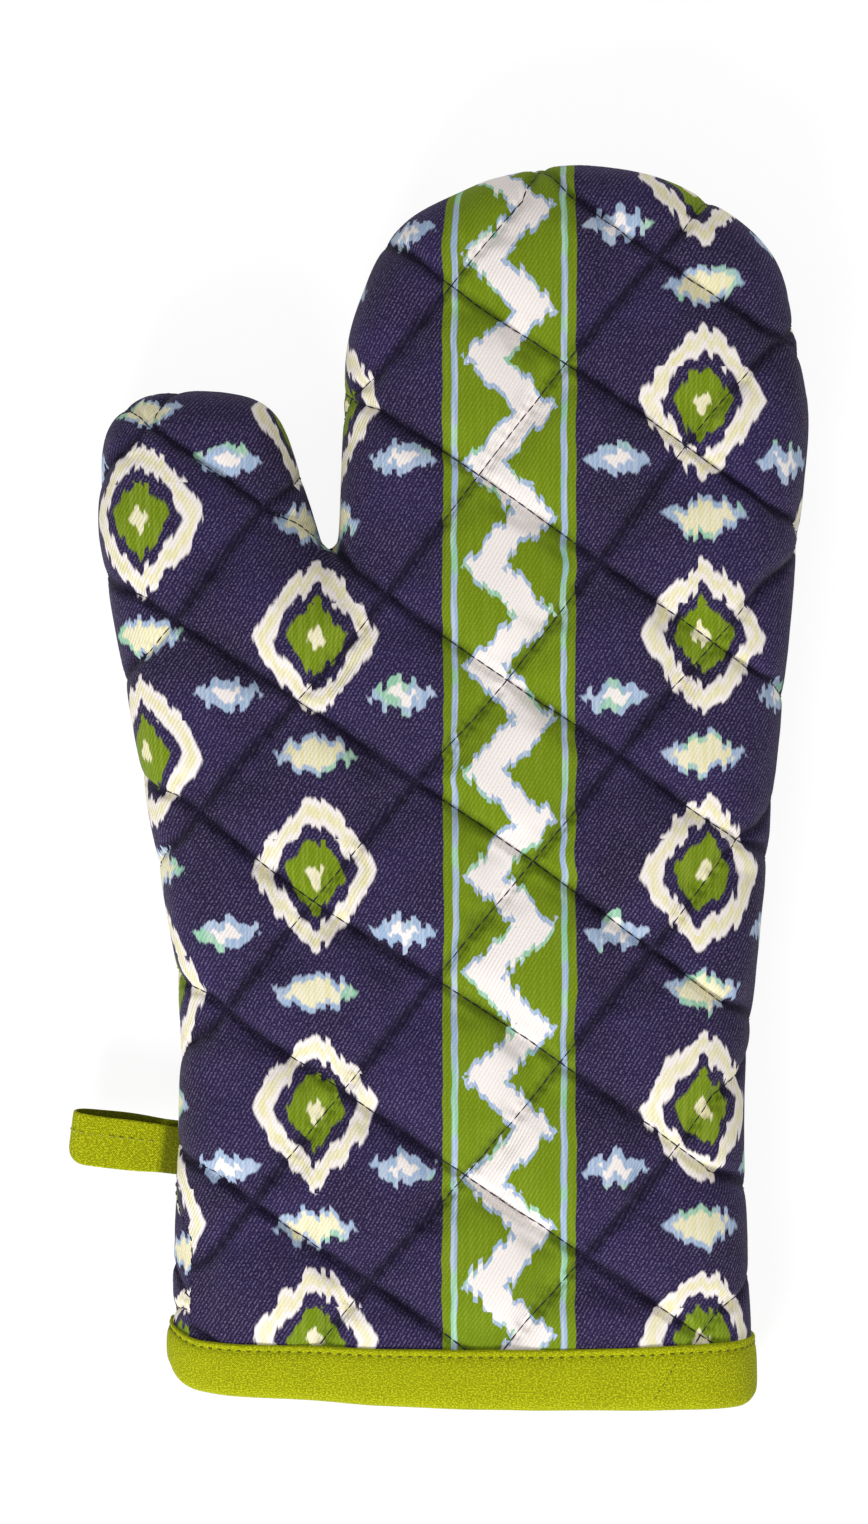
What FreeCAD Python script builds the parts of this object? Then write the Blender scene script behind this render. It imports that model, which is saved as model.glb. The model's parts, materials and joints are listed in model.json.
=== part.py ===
"""Quilted oven mitt with a taped cuff and a hanging loop, as a parametric FreeCAD document.

The mitt is drawn flat: X across the palm, Y from the cuff's mouth to the finger tips, Z up.
While it is drawn, y = 0 is the mouth and z = 0 is the plane of the side seam. Every finished
piece is then moved so that the origin lies under the palm, on the face that the mitt rests on.
All lengths are millimetres and all angles degrees.
"""
import FreeCAD, Part
import math
import os
import re
import Sketcher

V = FreeCAD.Vector

# Each size that can be set by itself: alias, value, what it is.
SIZES = [
    # Outline of the side seam: corners of a polygon, each rounded by its own radius.
    ("cuff_half_width", 79.5, "centre line to the seam at the mouth, both sides"),
    ("form_tail", 40, "how far the drawn form runs on below the mouth before it is cut off"),
    ("form_tail_radius", 20, "rounding of the drawn form's corners there"),
    ("thumb_waist_x", 75.5, "narrowest place on the thumb side, from the centre line"),
    ("thumb_waist_y", 108, "its distance from the mouth"),
    ("palm_waist_x", 75, "narrowest place on the little finger side, from the centre line"),
    ("palm_waist_y", 78, "its distance from the mouth"),
    ("waist_radius", 150, "bend at both waists"),
    ("crotch_x", 33.8, "fork between thumb and hand, from the centre line"),
    ("crotch_y", 216.5, "its distance from the mouth, to the unrounded corner"),
    ("crotch_radius", 2.4, "bend in the fork"),
    ("thumb_rise", 54, "fork corner to the thumb's tip"),
    ("thumb_belly_x", 98.5, "thumb's outermost place, from the centre line"),
    ("thumb_belly_rise", 17.5, "its distance above the fork corner"),
    ("thumb_belly_radius", 60, "bend there"),
    ("thumb_outer_x", 95.5, "outer corner of the thumb's tip, from the centre line"),
    ("thumb_outer_radius", 16, "bend there"),
    ("thumb_tip_x", 72, "middle of the thumb's tip, from the centre line"),
    ("thumb_tip_radius", 60, "bend there"),
    ("thumb_inner_x", 50, "inner corner of the thumb's tip, from the centre line"),
    ("thumb_inner_radius", 14, "bend there"),
    ("thumb_corner_drop", 3.5, "how far both corners lie below the thumb's tip"),
    ("hand_top", 340.7, "mouth to the unrounded corner at the finger tips"),
    ("hand_top_x", 38, "that corner from the centre line, away from the thumb"),
    ("hand_top_radius", 70, "bend there"),
    ("inner_side_x", 31.5, "hand's side above the fork, from the centre line"),
    ("inner_side_drop", 56.8, "its distance below the finger tips' corner"),
    ("inner_side_radius", 50, "bend there"),
    ("index_x", 20, "shoulder at the index finger, from the centre line"),
    ("index_drop", 26.8, "its distance below the finger tips' corner"),
    ("index_radius", 30, "bend there"),
    ("little_x", 85, "shoulder at the little finger, from the centre line"),
    ("little_drop", 33.8, "its distance below the finger tips' corner"),
    ("little_radius", 30, "bend there"),
    ("outer_side_x", 93.2, "hand's widest place on the little finger side"),
    ("outer_side_drop", 77.8, "its distance below the finger tips' corner"),
    ("outer_side_radius", 60, "bend there"),
    # Thickness of the stuffed form, above and below the seam.
    ("front_height", 25, "seam to the front's highest place"),
    ("front_shoulder", 13, "rounding round the front"),
    ("front_taper_length", 110, "length over which the front thins towards the mouth"),
    ("front_taper_drop", 3, "how much thinner the front is at the mouth"),
    ("back_height", 15, "seam to the back's lowest face"),
    ("back_shoulder", 10, "rounding round the back"),
    ("back_taper_length", 45, "length over which the back thins towards the mouth"),
    ("back_taper_drop", 2.8, "how much thinner the back is at the mouth"),
    # Plies of each panel, from outside in.
    ("cover_thickness", 0.6, "twill cover"),
    ("batting_thickness", 4, "cotton batting where it is free"),
    ("batting_in_seam", 1.2, "the same batting where the seam squeezes it"),
    ("lining_thickness", 0.5, "lining"),
    ("ply_gap", 0.2, "play between one ply and the next"),
    ("seam_gap", 0.6, "between the two covers in the side seam, where its thread lies"),
    ("seam_allowance", 11, "width of the sewn margin that points inward"),
    ("allowance_end", 18, "mouth to where the sewn margin ends, to make room for the binding"),
    # Threads.
    ("thread_width", 0.5, "width of every sewing thread"),
    ("thread_height", 0.25, "height of every sewing thread on a surface"),
    ("thread_gap", 0.1, "play between a thread and the cloth it lies on"),
    ("seam_thread_inset", 1.2, "outline to the side seam's thread"),
    ("seam_thread_height", 0.4, "height of the side seam's thread"),
    ("overlock_reach", 3, "how far the overlock thread covers the margin's edge"),
    ("overlock_height", 0.4, "height of the overlock thread"),
    ("quilt_pitch", 38, "distance between quilting lines of one direction"),
    ("falling_line_angle", -35, "quilting lines that fall to the right"),
    ("rising_line_angle", 50.5, "quilting lines that rise to the right"),
    ("quilt_anchor_x", 10.5, "one crossing of the quilting lines"),
    ("quilt_anchor_y", 193.5, "its distance from the mouth"),
    # Binding of the mouth.
    ("tape_thickness", 1.1, "binding and loop tape, folded"),
    ("binding_depth", 15.3, "how far the binding covers the cuff"),
    ("topstitch_inset", 2, "binding's edge to its stitching"),
    ("join_x", 53, "slanted join of the binding's ends, from the centre line"),
    ("join_angle", 60, "slant of that join"),
    ("join_margin", 2, "how far the join's stitching stays from both edges of the tape"),
    # Hanging loop, drawn along its own X outward from the hinge line.
    ("loop_axis_x", 80.5, "hinge line of the loop, from the centre line"),
    ("loop_axis_y", 66, "its distance from the mouth"),
    ("loop_tilt", -7, "turn of the tape towards the finger tips"),
    ("loop_width", 13.6, "width of the tape"),
    ("loop_reach", 25.5, "hinge line to the far end of the loop"),
    ("loop_root_half", 1.5, "half the loop's thickness at its root"),
    ("loop_end_half", 4.8, "half the loop's thickness at its far end"),
    ("loop_root_radius", 1.45, "rounding of the root, about the hinge line"),
    ("loop_end_radius", 4.2, "rounding of the fold at the far end"),
    ("loop_clearance", 0.5, "between the loop's root and the tail it swings on"),
    ("tail_length", 10, "tape caught in the side seam"),
    ("loop_stitch_offset", 1.8, "tape's middle to its edge stitching"),
    # Origin of the finished part.
    ("origin_y", 150, "mouth to the point under the palm that is the origin"),
]

# Corners of the outline, clockwise from the thumb side of the mouth: name, x, y, radius.
OUTLINE_CORNERS = [
    ("mouth_thumb_side", "-cuff_half_width", "-form_tail", "form_tail_radius"),
    ("thumb_waist", "-thumb_waist_x", "thumb_waist_y", "waist_radius"),
    ("thumb_belly", "-thumb_belly_x", "crotch_y + thumb_belly_rise", "thumb_belly_radius"),
    ("thumb_outer", "-thumb_outer_x", "crotch_y + thumb_rise - thumb_corner_drop", "thumb_outer_radius"),
    ("thumb_tip", "-thumb_tip_x", "crotch_y + thumb_rise", "thumb_tip_radius"),
    ("thumb_inner", "-thumb_inner_x", "crotch_y + thumb_rise - thumb_corner_drop", "thumb_inner_radius"),
    ("crotch", "-crotch_x", "crotch_y", "crotch_radius"),
    ("inner_side", "-inner_side_x", "hand_top - inner_side_drop", "inner_side_radius"),
    ("index", "-index_x", "hand_top - index_drop", "index_radius"),
    ("finger_tips", "hand_top_x", "hand_top", "hand_top_radius"),
    ("little", "little_x", "hand_top - little_drop", "little_radius"),
    ("outer_side", "outer_side_x", "hand_top - outer_side_drop", "outer_side_radius"),
    ("palm_waist", "palm_waist_x", "palm_waist_y", "waist_radius"),
    ("mouth_palm_side", "cuff_half_width", "-form_tail", "form_tail_radius"),
]

# Side view of the loop: the rounded root lies about the hinge line, the fold at the far end.
LOOP_CORNERS = [
    ("root_below", "loop_root_half", "-loop_root_half", "loop_root_radius"),
    ("end_below", "-loop_reach", "-loop_end_half", "loop_end_radius"),
    ("end_above", "-loop_reach", "loop_end_half", "loop_end_radius"),
    ("root_above", "loop_root_half", "loop_root_half", "loop_root_radius"),
]

# Depth below the cover's surface at which each ply begins.
COVER_INNER = "cover_thickness"
BATTING_OUTER = COVER_INNER + " + ply_gap"
BATTING_INNER = BATTING_OUTER + " + batting_thickness"
LINING_OUTER = BATTING_INNER + " + ply_gap"
LINING_INNER = LINING_OUTER + " + lining_thickness"

# Height above the seam plane at which each ply of the sewn margin begins and ends.
COVER_FLOOR = "seam_gap / 2"
COVER_FLOOR_TOP = COVER_FLOOR + " + cover_thickness"
BATTING_FLOOR = COVER_FLOOR_TOP + " + ply_gap"
BATTING_FLOOR_TOP = BATTING_FLOOR + " + batting_in_seam"
LINING_FLOOR = BATTING_FLOOR_TOP + " + ply_gap"
LINING_FLOOR_TOP = LINING_FLOOR + " + lining_thickness"

# The folded binding lies outside the cover and inside the lining.
BINDING_OUTER = "-(ply_gap + tape_thickness)"
BINDING_OUTER_FACE = "-ply_gap"
BINDING_INNER_FACE = LINING_INNER + " + ply_gap"
BINDING_INNER = BINDING_INNER_FACE + " + tape_thickness"

FAR = "400"  # longer and wider than any piece, for cutting tools
LARGEST_ROUNDING = 0.95  # of a side wall or of the tightest corner, so that the rounding fits on it
QUILTING_STEPS = range(-6, 7)  # lines of one direction, counted from the anchor
SIDE_SIGN = {"front": 1, "back": -1}

# Bends that point outward and are tight enough to limit the rounding of the form's shoulders.
TIGHT_CORNERS = ("thumb_outer_radius", "thumb_inner_radius", "index_radius", "little_radius",
                 "form_tail_radius")

doc = FreeCAD.newDocument("oven_mitt")
sheet = doc.addObject("Spreadsheet::Sheet", "sizes")
for row, (alias, value, meaning) in enumerate(SIZES, start=1):
    sheet.set("A%d" % row, meaning)
    sheet.set("B%d" % row, str(value))
    sheet.setAlias("B%d" % row, alias)
doc.recompute()

ALIASES = {alias for alias, value, meaning in SIZES}


def bound(expression):
    """The expression with every alias written as a cell of the sheet."""
    def cell(found):
        word = found.group(0)
        return "sizes." + word if word in ALIASES else word
    return re.sub(r"[a-z_]+", cell, expression)


def value_of(expression):
    """What the expression is worth now, in millimetres."""
    return float(sheet.evalExpression(bound(expression)))


def bind(thing, **expressions):
    """Ties properties of an object to the sheet."""
    for path, expression in expressions.items():
        thing.setExpression(path.replace("__", "."), bound(expression))


# ---------------------------------------------------------------- sketches and simple tools

def arc_in_corner(before, corner, after, radius):
    """Tangent arc in a polygon's corner, with the points where it leaves and joins the sides."""
    to_before = (before - corner).normalize()
    to_after = (after - corner).normalize()
    half_angle = to_before.getAngle(to_after) / 2
    reach = radius / math.tan(half_angle)
    start = corner + to_before * reach
    end = corner + to_after * reach
    inward = (to_before + to_after).normalize()
    distance = (radius ** 2 + reach ** 2) ** 0.5
    centre = corner + inward * distance
    middle = centre - inward * radius
    return start, middle, end


def rounded_polygon(name, corners):
    """Sketch of a closed polygon whose corners and radii are all bound to the sheet."""
    sketch = doc.addObject("Sketcher::SketchObject", name)
    points = [V(value_of(x), value_of(y), 0) for label, x, y, radius in corners]
    count = len(points)
    bends = []
    for index, (label, x, y, radius) in enumerate(corners):
        following = points[(index + 1) % count]
        bends.append(arc_in_corner(points[index - 1], points[index], following, value_of(radius)))
    lines, arcs, marks = [], [], []
    for index, (start, middle, end) in enumerate(bends):
        next_start = bends[(index + 1) % count][0]
        lines.append(sketch.addGeometry(Part.LineSegment(end, next_start), False))
        arcs.append(sketch.addGeometry(Part.Arc(start, middle, end), False))
        marks.append(sketch.addGeometry(Part.Point(points[index]), True))
    joints, sizes = [], []
    for index, (label, x, y, radius) in enumerate(corners):
        before, after, mark = lines[index - 1], lines[index], marks[index]
        arrival, departure = arc_ends(points[index - 1], points[index], points[(index + 1) % count])
        joints.append(Sketcher.Constraint("Tangent", before, 2, arcs[index], arrival))
        joints.append(Sketcher.Constraint("Tangent", arcs[index], departure, after, 1))
        joints.append(Sketcher.Constraint("PointOnObject", mark, 1, before))
        joints.append(Sketcher.Constraint("PointOnObject", mark, 1, after))
        sizes.append((label + "_x", x, Sketcher.Constraint("DistanceX", -1, 1, mark, 1, points[index].x)))
        sizes.append((label + "_y", y, Sketcher.Constraint("DistanceY", -1, 1, mark, 1, points[index].y)))
        sizes.append((label + "_radius", radius,
                      Sketcher.Constraint("Radius", arcs[index], value_of(radius))))
    sketch.addConstraint(joints + [constraint for title, expression, constraint in sizes])
    for number, (title, expression, constraint) in enumerate(sizes, start=len(joints)):
        sketch.renameConstraint(number, title)
        sketch.setExpression("Constraints." + title, bound(expression))
    return sketch


def arc_ends(before, corner, after):
    """Which end of a sketch's arc, 1 or 2, is reached first: arcs always run anticlockwise."""
    turn = (corner - before).cross(after - corner)
    return (1, 2) if turn.z > 0 else (2, 1)


def inset_outline(name, outline, inset):
    """The outline moved inward by an inset, or outward by a negative one."""
    if inset is None:
        return outline
    ring = doc.addObject("Part::Offset2D", name)
    ring.Source = outline
    bind(ring, Value="-(" + inset + ")")
    return ring


def prism(name, base, bottom, top):
    """Solid raised on a closed outline from one height to another."""
    solid = doc.addObject("Part::Extrusion", name)
    solid.Base = base
    solid.DirMode = "Custom"
    solid.Dir = V(0, 0, 1)
    solid.Solid = True
    bind(solid, LengthFwd="(" + top + ") - (" + bottom + ")", Placement__Base__z=bottom)
    return solid


def cross_slab(name, begin, end):
    """Everything between two distances from the mouth, right across the mitt."""
    slab = doc.addObject("Part::Box", name)
    bind(slab, Length="2 * " + FAR, Width="(" + end + ") - (" + begin + ")", Height="2 * " + FAR,
         Placement__Base__x="-" + FAR, Placement__Base__y=begin, Placement__Base__z="-" + FAR)
    return slab


def boolean(kind, name, base, tool):
    """Part::Cut, Part::Common or Part::Fuse of two objects."""
    result = doc.addObject("Part::" + kind, name)
    result.Base = base
    result.Tool = tool
    return result


# ---------------------------------------------------------------- stuffed form of the mitt

def taper_wedge(name, side, depth):
    """What is cut away above the front, or below the back, so that it thins towards the mouth."""
    wedge = doc.addObject("Part::Wedge", name)
    run = side + "_taper_length"
    drop = side + "_taper_drop * (" + run + " + form_tail) / " + run
    face = side + "_height - (" + depth + ")"
    bind(wedge, Xmin="-" + FAR, X2min="-" + FAR, Xmax=FAR, X2max=FAR, Ymin="-form_tail", Ymax=run)
    if side == "front":
        bind(wedge, Zmin=face + " - " + drop, Z2min=face, Zmax=FAR, Z2max=FAR)
    else:
        bind(wedge, Zmin="-" + FAR, Z2min="-" + FAR,
             Zmax="-(" + face + ") + " + drop, Z2max="-(" + face + ")")
    return wedge


def shoulder_radius(side, depth, floor):
    """Rounding of one half of the form: it follows the depth, and fits the wall and the corners."""
    wanted = value_of(side + "_shoulder - (" + depth + ")")
    wall = value_of(side + "_height - (" + depth + ") - (" + floor + ")")
    corner = min(value_of(radius + " - (" + depth + ")") for radius in TIGHT_CORNERS)
    return min(wanted, LARGEST_ROUNDING * wall, LARGEST_ROUNDING * corner)


def half_form(name, side, depth, floor):
    """One half of the stuffed mitt, this depth below the cover's surface, above its floor."""
    ring = inset_outline(name + "_outline", outline, depth)
    depth = depth or "0"
    face = side + "_height - (" + depth + ")"
    if side == "front":
        slab = prism(name + "_slab", ring, floor, face)
    else:
        slab = prism(name + "_slab", ring, "-(" + face + ")", "-(" + floor + ")")
    doc.recompute()
    rim_height = SIDE_SIGN[side] * value_of(face)
    shoulder = doc.addObject("Part::Fillet", name + "_shoulder")
    shoulder.Base = slab
    rim = [number for number, edge in enumerate(slab.Shape.Edges, start=1)
           if all(abs(vertex.Z - rim_height) < 1e-6 for vertex in edge.Vertexes)]
    radius = shoulder_radius(side, depth, floor)
    shoulder.Edges = [(number, radius, radius) for number in rim]
    return boolean("Cut", name, shoulder, taper_wedge(name + "_taper", side, depth))


def whole_form(name, depth):
    """Both halves of the stuffed mitt in one solid, this depth below the cover's surface."""
    front = half_form(name + "_front", "front", depth, "0")
    back = half_form(name + "_back", "back", depth, "0")
    return boolean("Fuse", name, front, back)


# ---------------------------------------------------------------- pieces

finished = []


def finish(piece, label, on_hinge=False):
    """Names a finished piece and moves it from where it was drawn to the part's own frame."""
    piece.Label = label
    if on_hinge:
        bind(piece, Placement__Base__x="-loop_axis_x", Placement__Base__y="loop_axis_y - origin_y",
             Placement__Base__z="back_height", Placement__Rotation__Angle="loop_tilt")
    else:
        bind(piece, Placement__Base__y="-origin_y", Placement__Base__z="back_height")
    finished.append(piece)


def make_opener():
    """Tool that opens every ply: the hand's way in, and the room left for the binding."""
    height = LINING_FLOOR_TOP + " + ply_gap"
    way_in = prism("way_in", inset_outline("way_in_outline", outline, "seam_allowance"),
                   "-(" + height + ")", height)
    relief_prism = prism("relief_prism", inset_outline("relief_outline", outline, LINING_INNER),
                         "-(" + height + ")", height)
    relief_box = cross_slab("relief_box", "-form_tail", "allowance_end")
    relief = boolean("Common", "relief", relief_prism, relief_box)
    opener = doc.addObject("Part::MultiFuse", "opener")
    opener.Shapes = [way_in, relief, mouth]
    return opener


def make_ply(side, ply, outer, inner, floor, floor_top):
    """One ply of a panel: a shell between two forms, with its sewn margin at the seam."""
    name = side + "_" + ply
    outside = half_form(name + "_outside", side, outer, floor)
    inside = half_form(name + "_inside", side, inner, floor_top)
    shell = boolean("Cut", name + "_shell", outside, inside)
    opened = boolean("Cut", name + "_opened", shell, opener)
    return boolean("Cut", name + "_ply", opened, tail_slot)


def quilting_plates(name, direction, width):
    """Upright plates along one direction of the diamond lattice, as wide as what lies there."""
    line = direction + "_line_angle"
    plates = []
    for step in QUILTING_STEPS:
        plate = doc.addObject("Part::Box", "%s_%d" % (name, step - QUILTING_STEPS[0]))
        away = "(%d * quilt_pitch - (%s) / 2)" % (step, width)
        bind(plate, Length="2 * " + FAR, Width=width, Height="2 * " + FAR,
             Placement__Rotation__Angle=line,
             Placement__Base__x="quilt_anchor_x - %s * cos(%s) - %s * sin(%s)" % (FAR, line, away, line),
             Placement__Base__y="quilt_anchor_y - %s * sin(%s) + %s * cos(%s)" % (FAR, line, away, line),
             Placement__Base__z="-" + FAR)
        plates.append(plate)
    lattice = doc.addObject("Part::Compound", name)
    lattice.Links = plates
    return lattice


def make_quilting(side, cover):
    """Thread along the diamond lattice, and the cover with the groove that it lies in."""
    name = side + "_quilting"
    surface = half_form(name + "_surface", side, None, COVER_FLOOR)
    under_thread = half_form(name + "_under_thread", side, "thread_height", COVER_FLOOR)
    groove_floor = half_form(name + "_groove_floor", side, "thread_height + thread_gap", COVER_FLOOR)
    whole_skin = boolean("Cut", name + "_whole_skin", surface, under_thread)
    open_skin = boolean("Cut", name + "_open_skin", whole_skin, mouth)
    skin = boolean("Cut", name + "_skin", open_skin, tail_slot)
    runs = []
    for direction in ("falling", "rising"):
        stitched = name + "_" + direction
        thread_plates = quilting_plates(stitched + "_thread", direction, "thread_width")
        runs.append(boolean("Common", stitched + "_run", skin, thread_plates))
        groove_plates = quilting_plates(stitched + "_groove", direction, "thread_width + 2 * thread_gap")
        groove = boolean("Cut", stitched + "_room", groove_plates, groove_floor)
        cover = boolean("Cut", stitched + "_cover", cover, groove)
    return boolean("Fuse", name + "_thread", runs[0], runs[1]), cover


def cuff_band(name, outer_depth, inner_depth, begin, end):
    """Ring of cloth or thread round the cuff: between two forms, from one height to another."""
    ring = boolean("Cut", name + "_ring", whole_form(name + "_outside", outer_depth),
                   whole_form(name + "_inside", inner_depth))
    return boolean("Common", name, ring, cross_slab(name + "_span", begin, end))


def make_binding():
    """Tape folded over the raw edges of both panels, all the way round the mouth."""
    folded = cuff_band("folded_tape", BINDING_OUTER, BINDING_INNER, BINDING_OUTER, "binding_depth")
    room = cuff_band("room_in_tape", BINDING_OUTER_FACE, BINDING_INNER_FACE, BINDING_OUTER_FACE,
                     "2 * binding_depth")
    return boolean("Cut", "binding", folded, room)


def make_binding_stitches():
    """Thread along the binding's edge, and the slanted thread where its ends meet."""
    inner = BINDING_OUTER + " - thread_gap"
    outer = inner + " - thread_height"
    line = "binding_depth - topstitch_inset"
    topstitch = cuff_band("topstitch", outer, inner, line + " - thread_width / 2",
                          line + " + thread_width / 2")
    join_skin = cuff_band("join_skin", outer, inner, "join_margin", line + " - join_margin / 2")
    plate = doc.addObject("Part::Box", "join_plate")
    bind(plate, Length="2 * binding_depth", Width="thread_width", Height="front_height * 2",
         Placement__Base__x="join_x - binding_depth * cos(join_angle)",
         Placement__Base__y="binding_depth / 2 - binding_depth * sin(join_angle)",
         Placement__Rotation__Angle="join_angle")
    return topstitch, boolean("Common", "join", join_skin, plate)


def edge_ring(name, outer_inset, inner_inset, bottom, top):
    """Flat ring that follows the outline between two insets."""
    outer_line = inset_outline(name + "_outer_line", outline, outer_inset)
    inner_line = inset_outline(name + "_inner_line", outline, inner_inset)
    return boolean("Cut", name, prism(name + "_outside", outer_line, bottom, top),
                   prism(name + "_inside", inner_line, bottom, top))


def make_seam_thread(name, play):
    """Thread between the two covers in the side seam, or with some play the room it needs."""
    half = "(seam_thread_height / 2 + " + play + ")"
    return edge_ring(name, "seam_thread_inset - " + play, "seam_thread_inset + thread_width + " + play,
                     "-" + half, half)


def make_overlock():
    """Thread wrapped over the margin's raw edge inside the mitt, up to where the margin ends."""
    margin_half = LINING_FLOOR_TOP + " + ply_gap"
    thread_half = margin_half + " + overlock_height"
    wrap = edge_ring("overlock_wrap", "seam_allowance - overlock_reach",
                     "seam_allowance + ply_gap + overlock_height", "-(" + thread_half + ")", thread_half)
    margin = edge_ring("overlock_room", "seam_allowance - 2 * overlock_reach", "seam_allowance + ply_gap",
                       "-(" + margin_half + ")", margin_half)
    wrapped = boolean("Cut", "overlock_whole", wrap, margin)
    cuff = cross_slab("overlock_end", "-" + FAR, "allowance_end + ply_gap")
    return boolean("Cut", "overlock", wrapped, cuff)


def loop_block(name, low, high):
    """Box in the loop's own frame, turned and moved to the hinge line."""
    box = doc.addObject("Part::Box", name)
    for side, begin, end in zip(("Length", "Width", "Height"), low, high):
        box.setExpression(side, bound("(" + end + ") - (" + begin + ")"))
    x, y, z = low
    bind(box, Placement__Rotation__Angle="loop_tilt", Placement__Base__z=z,
         Placement__Base__x="-loop_axis_x + (%s) * cos(loop_tilt) - (%s) * sin(loop_tilt)" % (x, y),
         Placement__Base__y="loop_axis_y + (%s) * sin(loop_tilt) + (%s) * cos(loop_tilt)" % (x, y))
    return box


def loop_prism(name, profile, begin, end):
    """Solid raised across the tape from the loop's side view."""
    solid = doc.addObject("Part::Extrusion", name)
    solid.Base = profile
    solid.DirMode = "Custom"
    solid.Dir = V(0, 1, 0)
    solid.Solid = True
    bind(solid, LengthFwd="(" + end + ") - (" + begin + ")", Placement__Base__y=begin)
    return solid


def make_loop():
    """Loop of folded tape and its edge stitching, in the loop's own frame."""
    profile = rounded_polygon("loop_profile", LOOP_CORNERS)
    profile.Placement = FreeCAD.Placement(V(), FreeCAD.Rotation(V(1, 0, 0), 90))
    half = "loop_width / 2"
    outside = loop_prism("loop_outside", profile, "-" + half, half)
    hole = inset_outline("loop_hole", profile, "tape_thickness")
    inside = loop_prism("loop_inside", hole, "-" + half, half)
    loop = boolean("Cut", "loop", outside, inside)
    begin, end = "loop_stitch_offset - thread_width / 2", "loop_stitch_offset + thread_width / 2"
    lower = loop_prism("loop_stitch_below", inset_outline("loop_stitch_face", profile, "-thread_gap"),
                       begin, end)
    upper = loop_prism("loop_stitch_above",
                       inset_outline("loop_stitch_top", profile, "-(thread_gap + thread_height)"), begin, end)
    band = boolean("Cut", "loop_stitch_band", upper, lower)
    root = doc.addObject("Part::Box", "loop_stitch_root")
    bind(root, Length="4 * loop_root_half", Width="loop_width", Height="4 * loop_root_half",
         Placement__Base__x="-loop_root_half", Placement__Base__y="-loop_width / 2",
         Placement__Base__z="-2 * loop_root_half")
    return loop, boolean("Cut", "loop_stitch", band, root)


def make_tail():
    """Tape caught in the side seam, with a tunnel for the seam's thread."""
    begin = "loop_root_half + loop_clearance"
    tape = loop_block("tail_tape", (begin, "-loop_width / 2", "-tape_thickness"),
                      (begin + " + tail_length", "loop_width / 2", "tape_thickness"))
    return boolean("Cut", "tail", tape, make_seam_thread("tail_tunnel", "thread_gap"))


# ---------------------------------------------------------------- the mitt

outline = rounded_polygon("outline", OUTLINE_CORNERS)
mouth = cross_slab("mouth", "-" + FAR, "0")
opener = make_opener()
tail_slot = loop_block(
    "tail_slot", ("loop_root_half", "-loop_width / 2 - ply_gap", "-tape_thickness - ply_gap"),
    ("loop_root_half + loop_clearance + tail_length + ply_gap",
     "loop_width / 2 + ply_gap", "tape_thickness + ply_gap"))

for side in ("front", "back"):
    cover = make_ply(side, "cover", None, COVER_INNER, COVER_FLOOR, COVER_FLOOR_TOP)
    quilting_thread, cover = make_quilting(side, cover)
    finish(cover, side + "_cover")
    finish(quilting_thread, side + "_quilting_thread")
    finish(make_ply(side, "batting", BATTING_OUTER, BATTING_INNER, BATTING_FLOOR, BATTING_FLOOR_TOP),
           side + "_batting")
    finish(make_ply(side, "lining", LINING_OUTER, LINING_INNER, LINING_FLOOR, LINING_FLOOR_TOP),
           side + "_lining")

finish(boolean("Cut", "seam_thread", make_seam_thread("seam_thread_ring", "0"), mouth), "side_seam_thread")
finish(make_overlock(), "seam_allowance_overlock")
finish(make_binding(), "cuff_binding")
topstitch, join = make_binding_stitches()
finish(topstitch, "binding_topstitch")
finish(join, "binding_join_stitch")
finish(make_tail(), "loop_tail")
loop, loop_stitch = make_loop()
finish(loop, "hanging_loop", on_hinge=True)
finish(loop_stitch, "loop_edge_stitch", on_hinge=True)
doc.recompute()

# ---------------------------------------------------------------- checks and files

for thing in doc.Objects:
    if "Invalid" in thing.State or "Error" in thing.State:
        raise RuntimeError("%s failed: %s" % (thing.Name, thing.getStatusString()))
for piece in finished:
    if piece.Shape.isNull() or not piece.Shape.isValid() or not piece.Shape.Solids:
        raise RuntimeError("%s has no valid solid" % piece.Label)

os.makedirs("parts", exist_ok=True)
for piece in finished:
    piece.Shape.exportStep("parts/%s.step" % piece.Label)
    print("%-24s %2d solids %9.1f mm3" % (piece.Label, len(piece.Shape.Solids), piece.Shape.Volume))
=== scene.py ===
"""Dress of the quilted oven mitt: padded panels, linings, bound cuff, hanging loop and stitching.

Lengths are metres in the row frame. A panel is made flat first: each of its points has a plan
position (x, y) and an inset, its distance from the side seam's outline. A profile then raises it
to its place on the stuffed form, and a cloth simulation swells the quilted cells.
"""

import bmesh
import bpy
import json
import math
import numpy as np
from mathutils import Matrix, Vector
from mathutils.bvhtree import BVHTree
from mathutils.geometry import delaunay_2d_cdt
from mathutils.kdtree import KDTree

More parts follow.
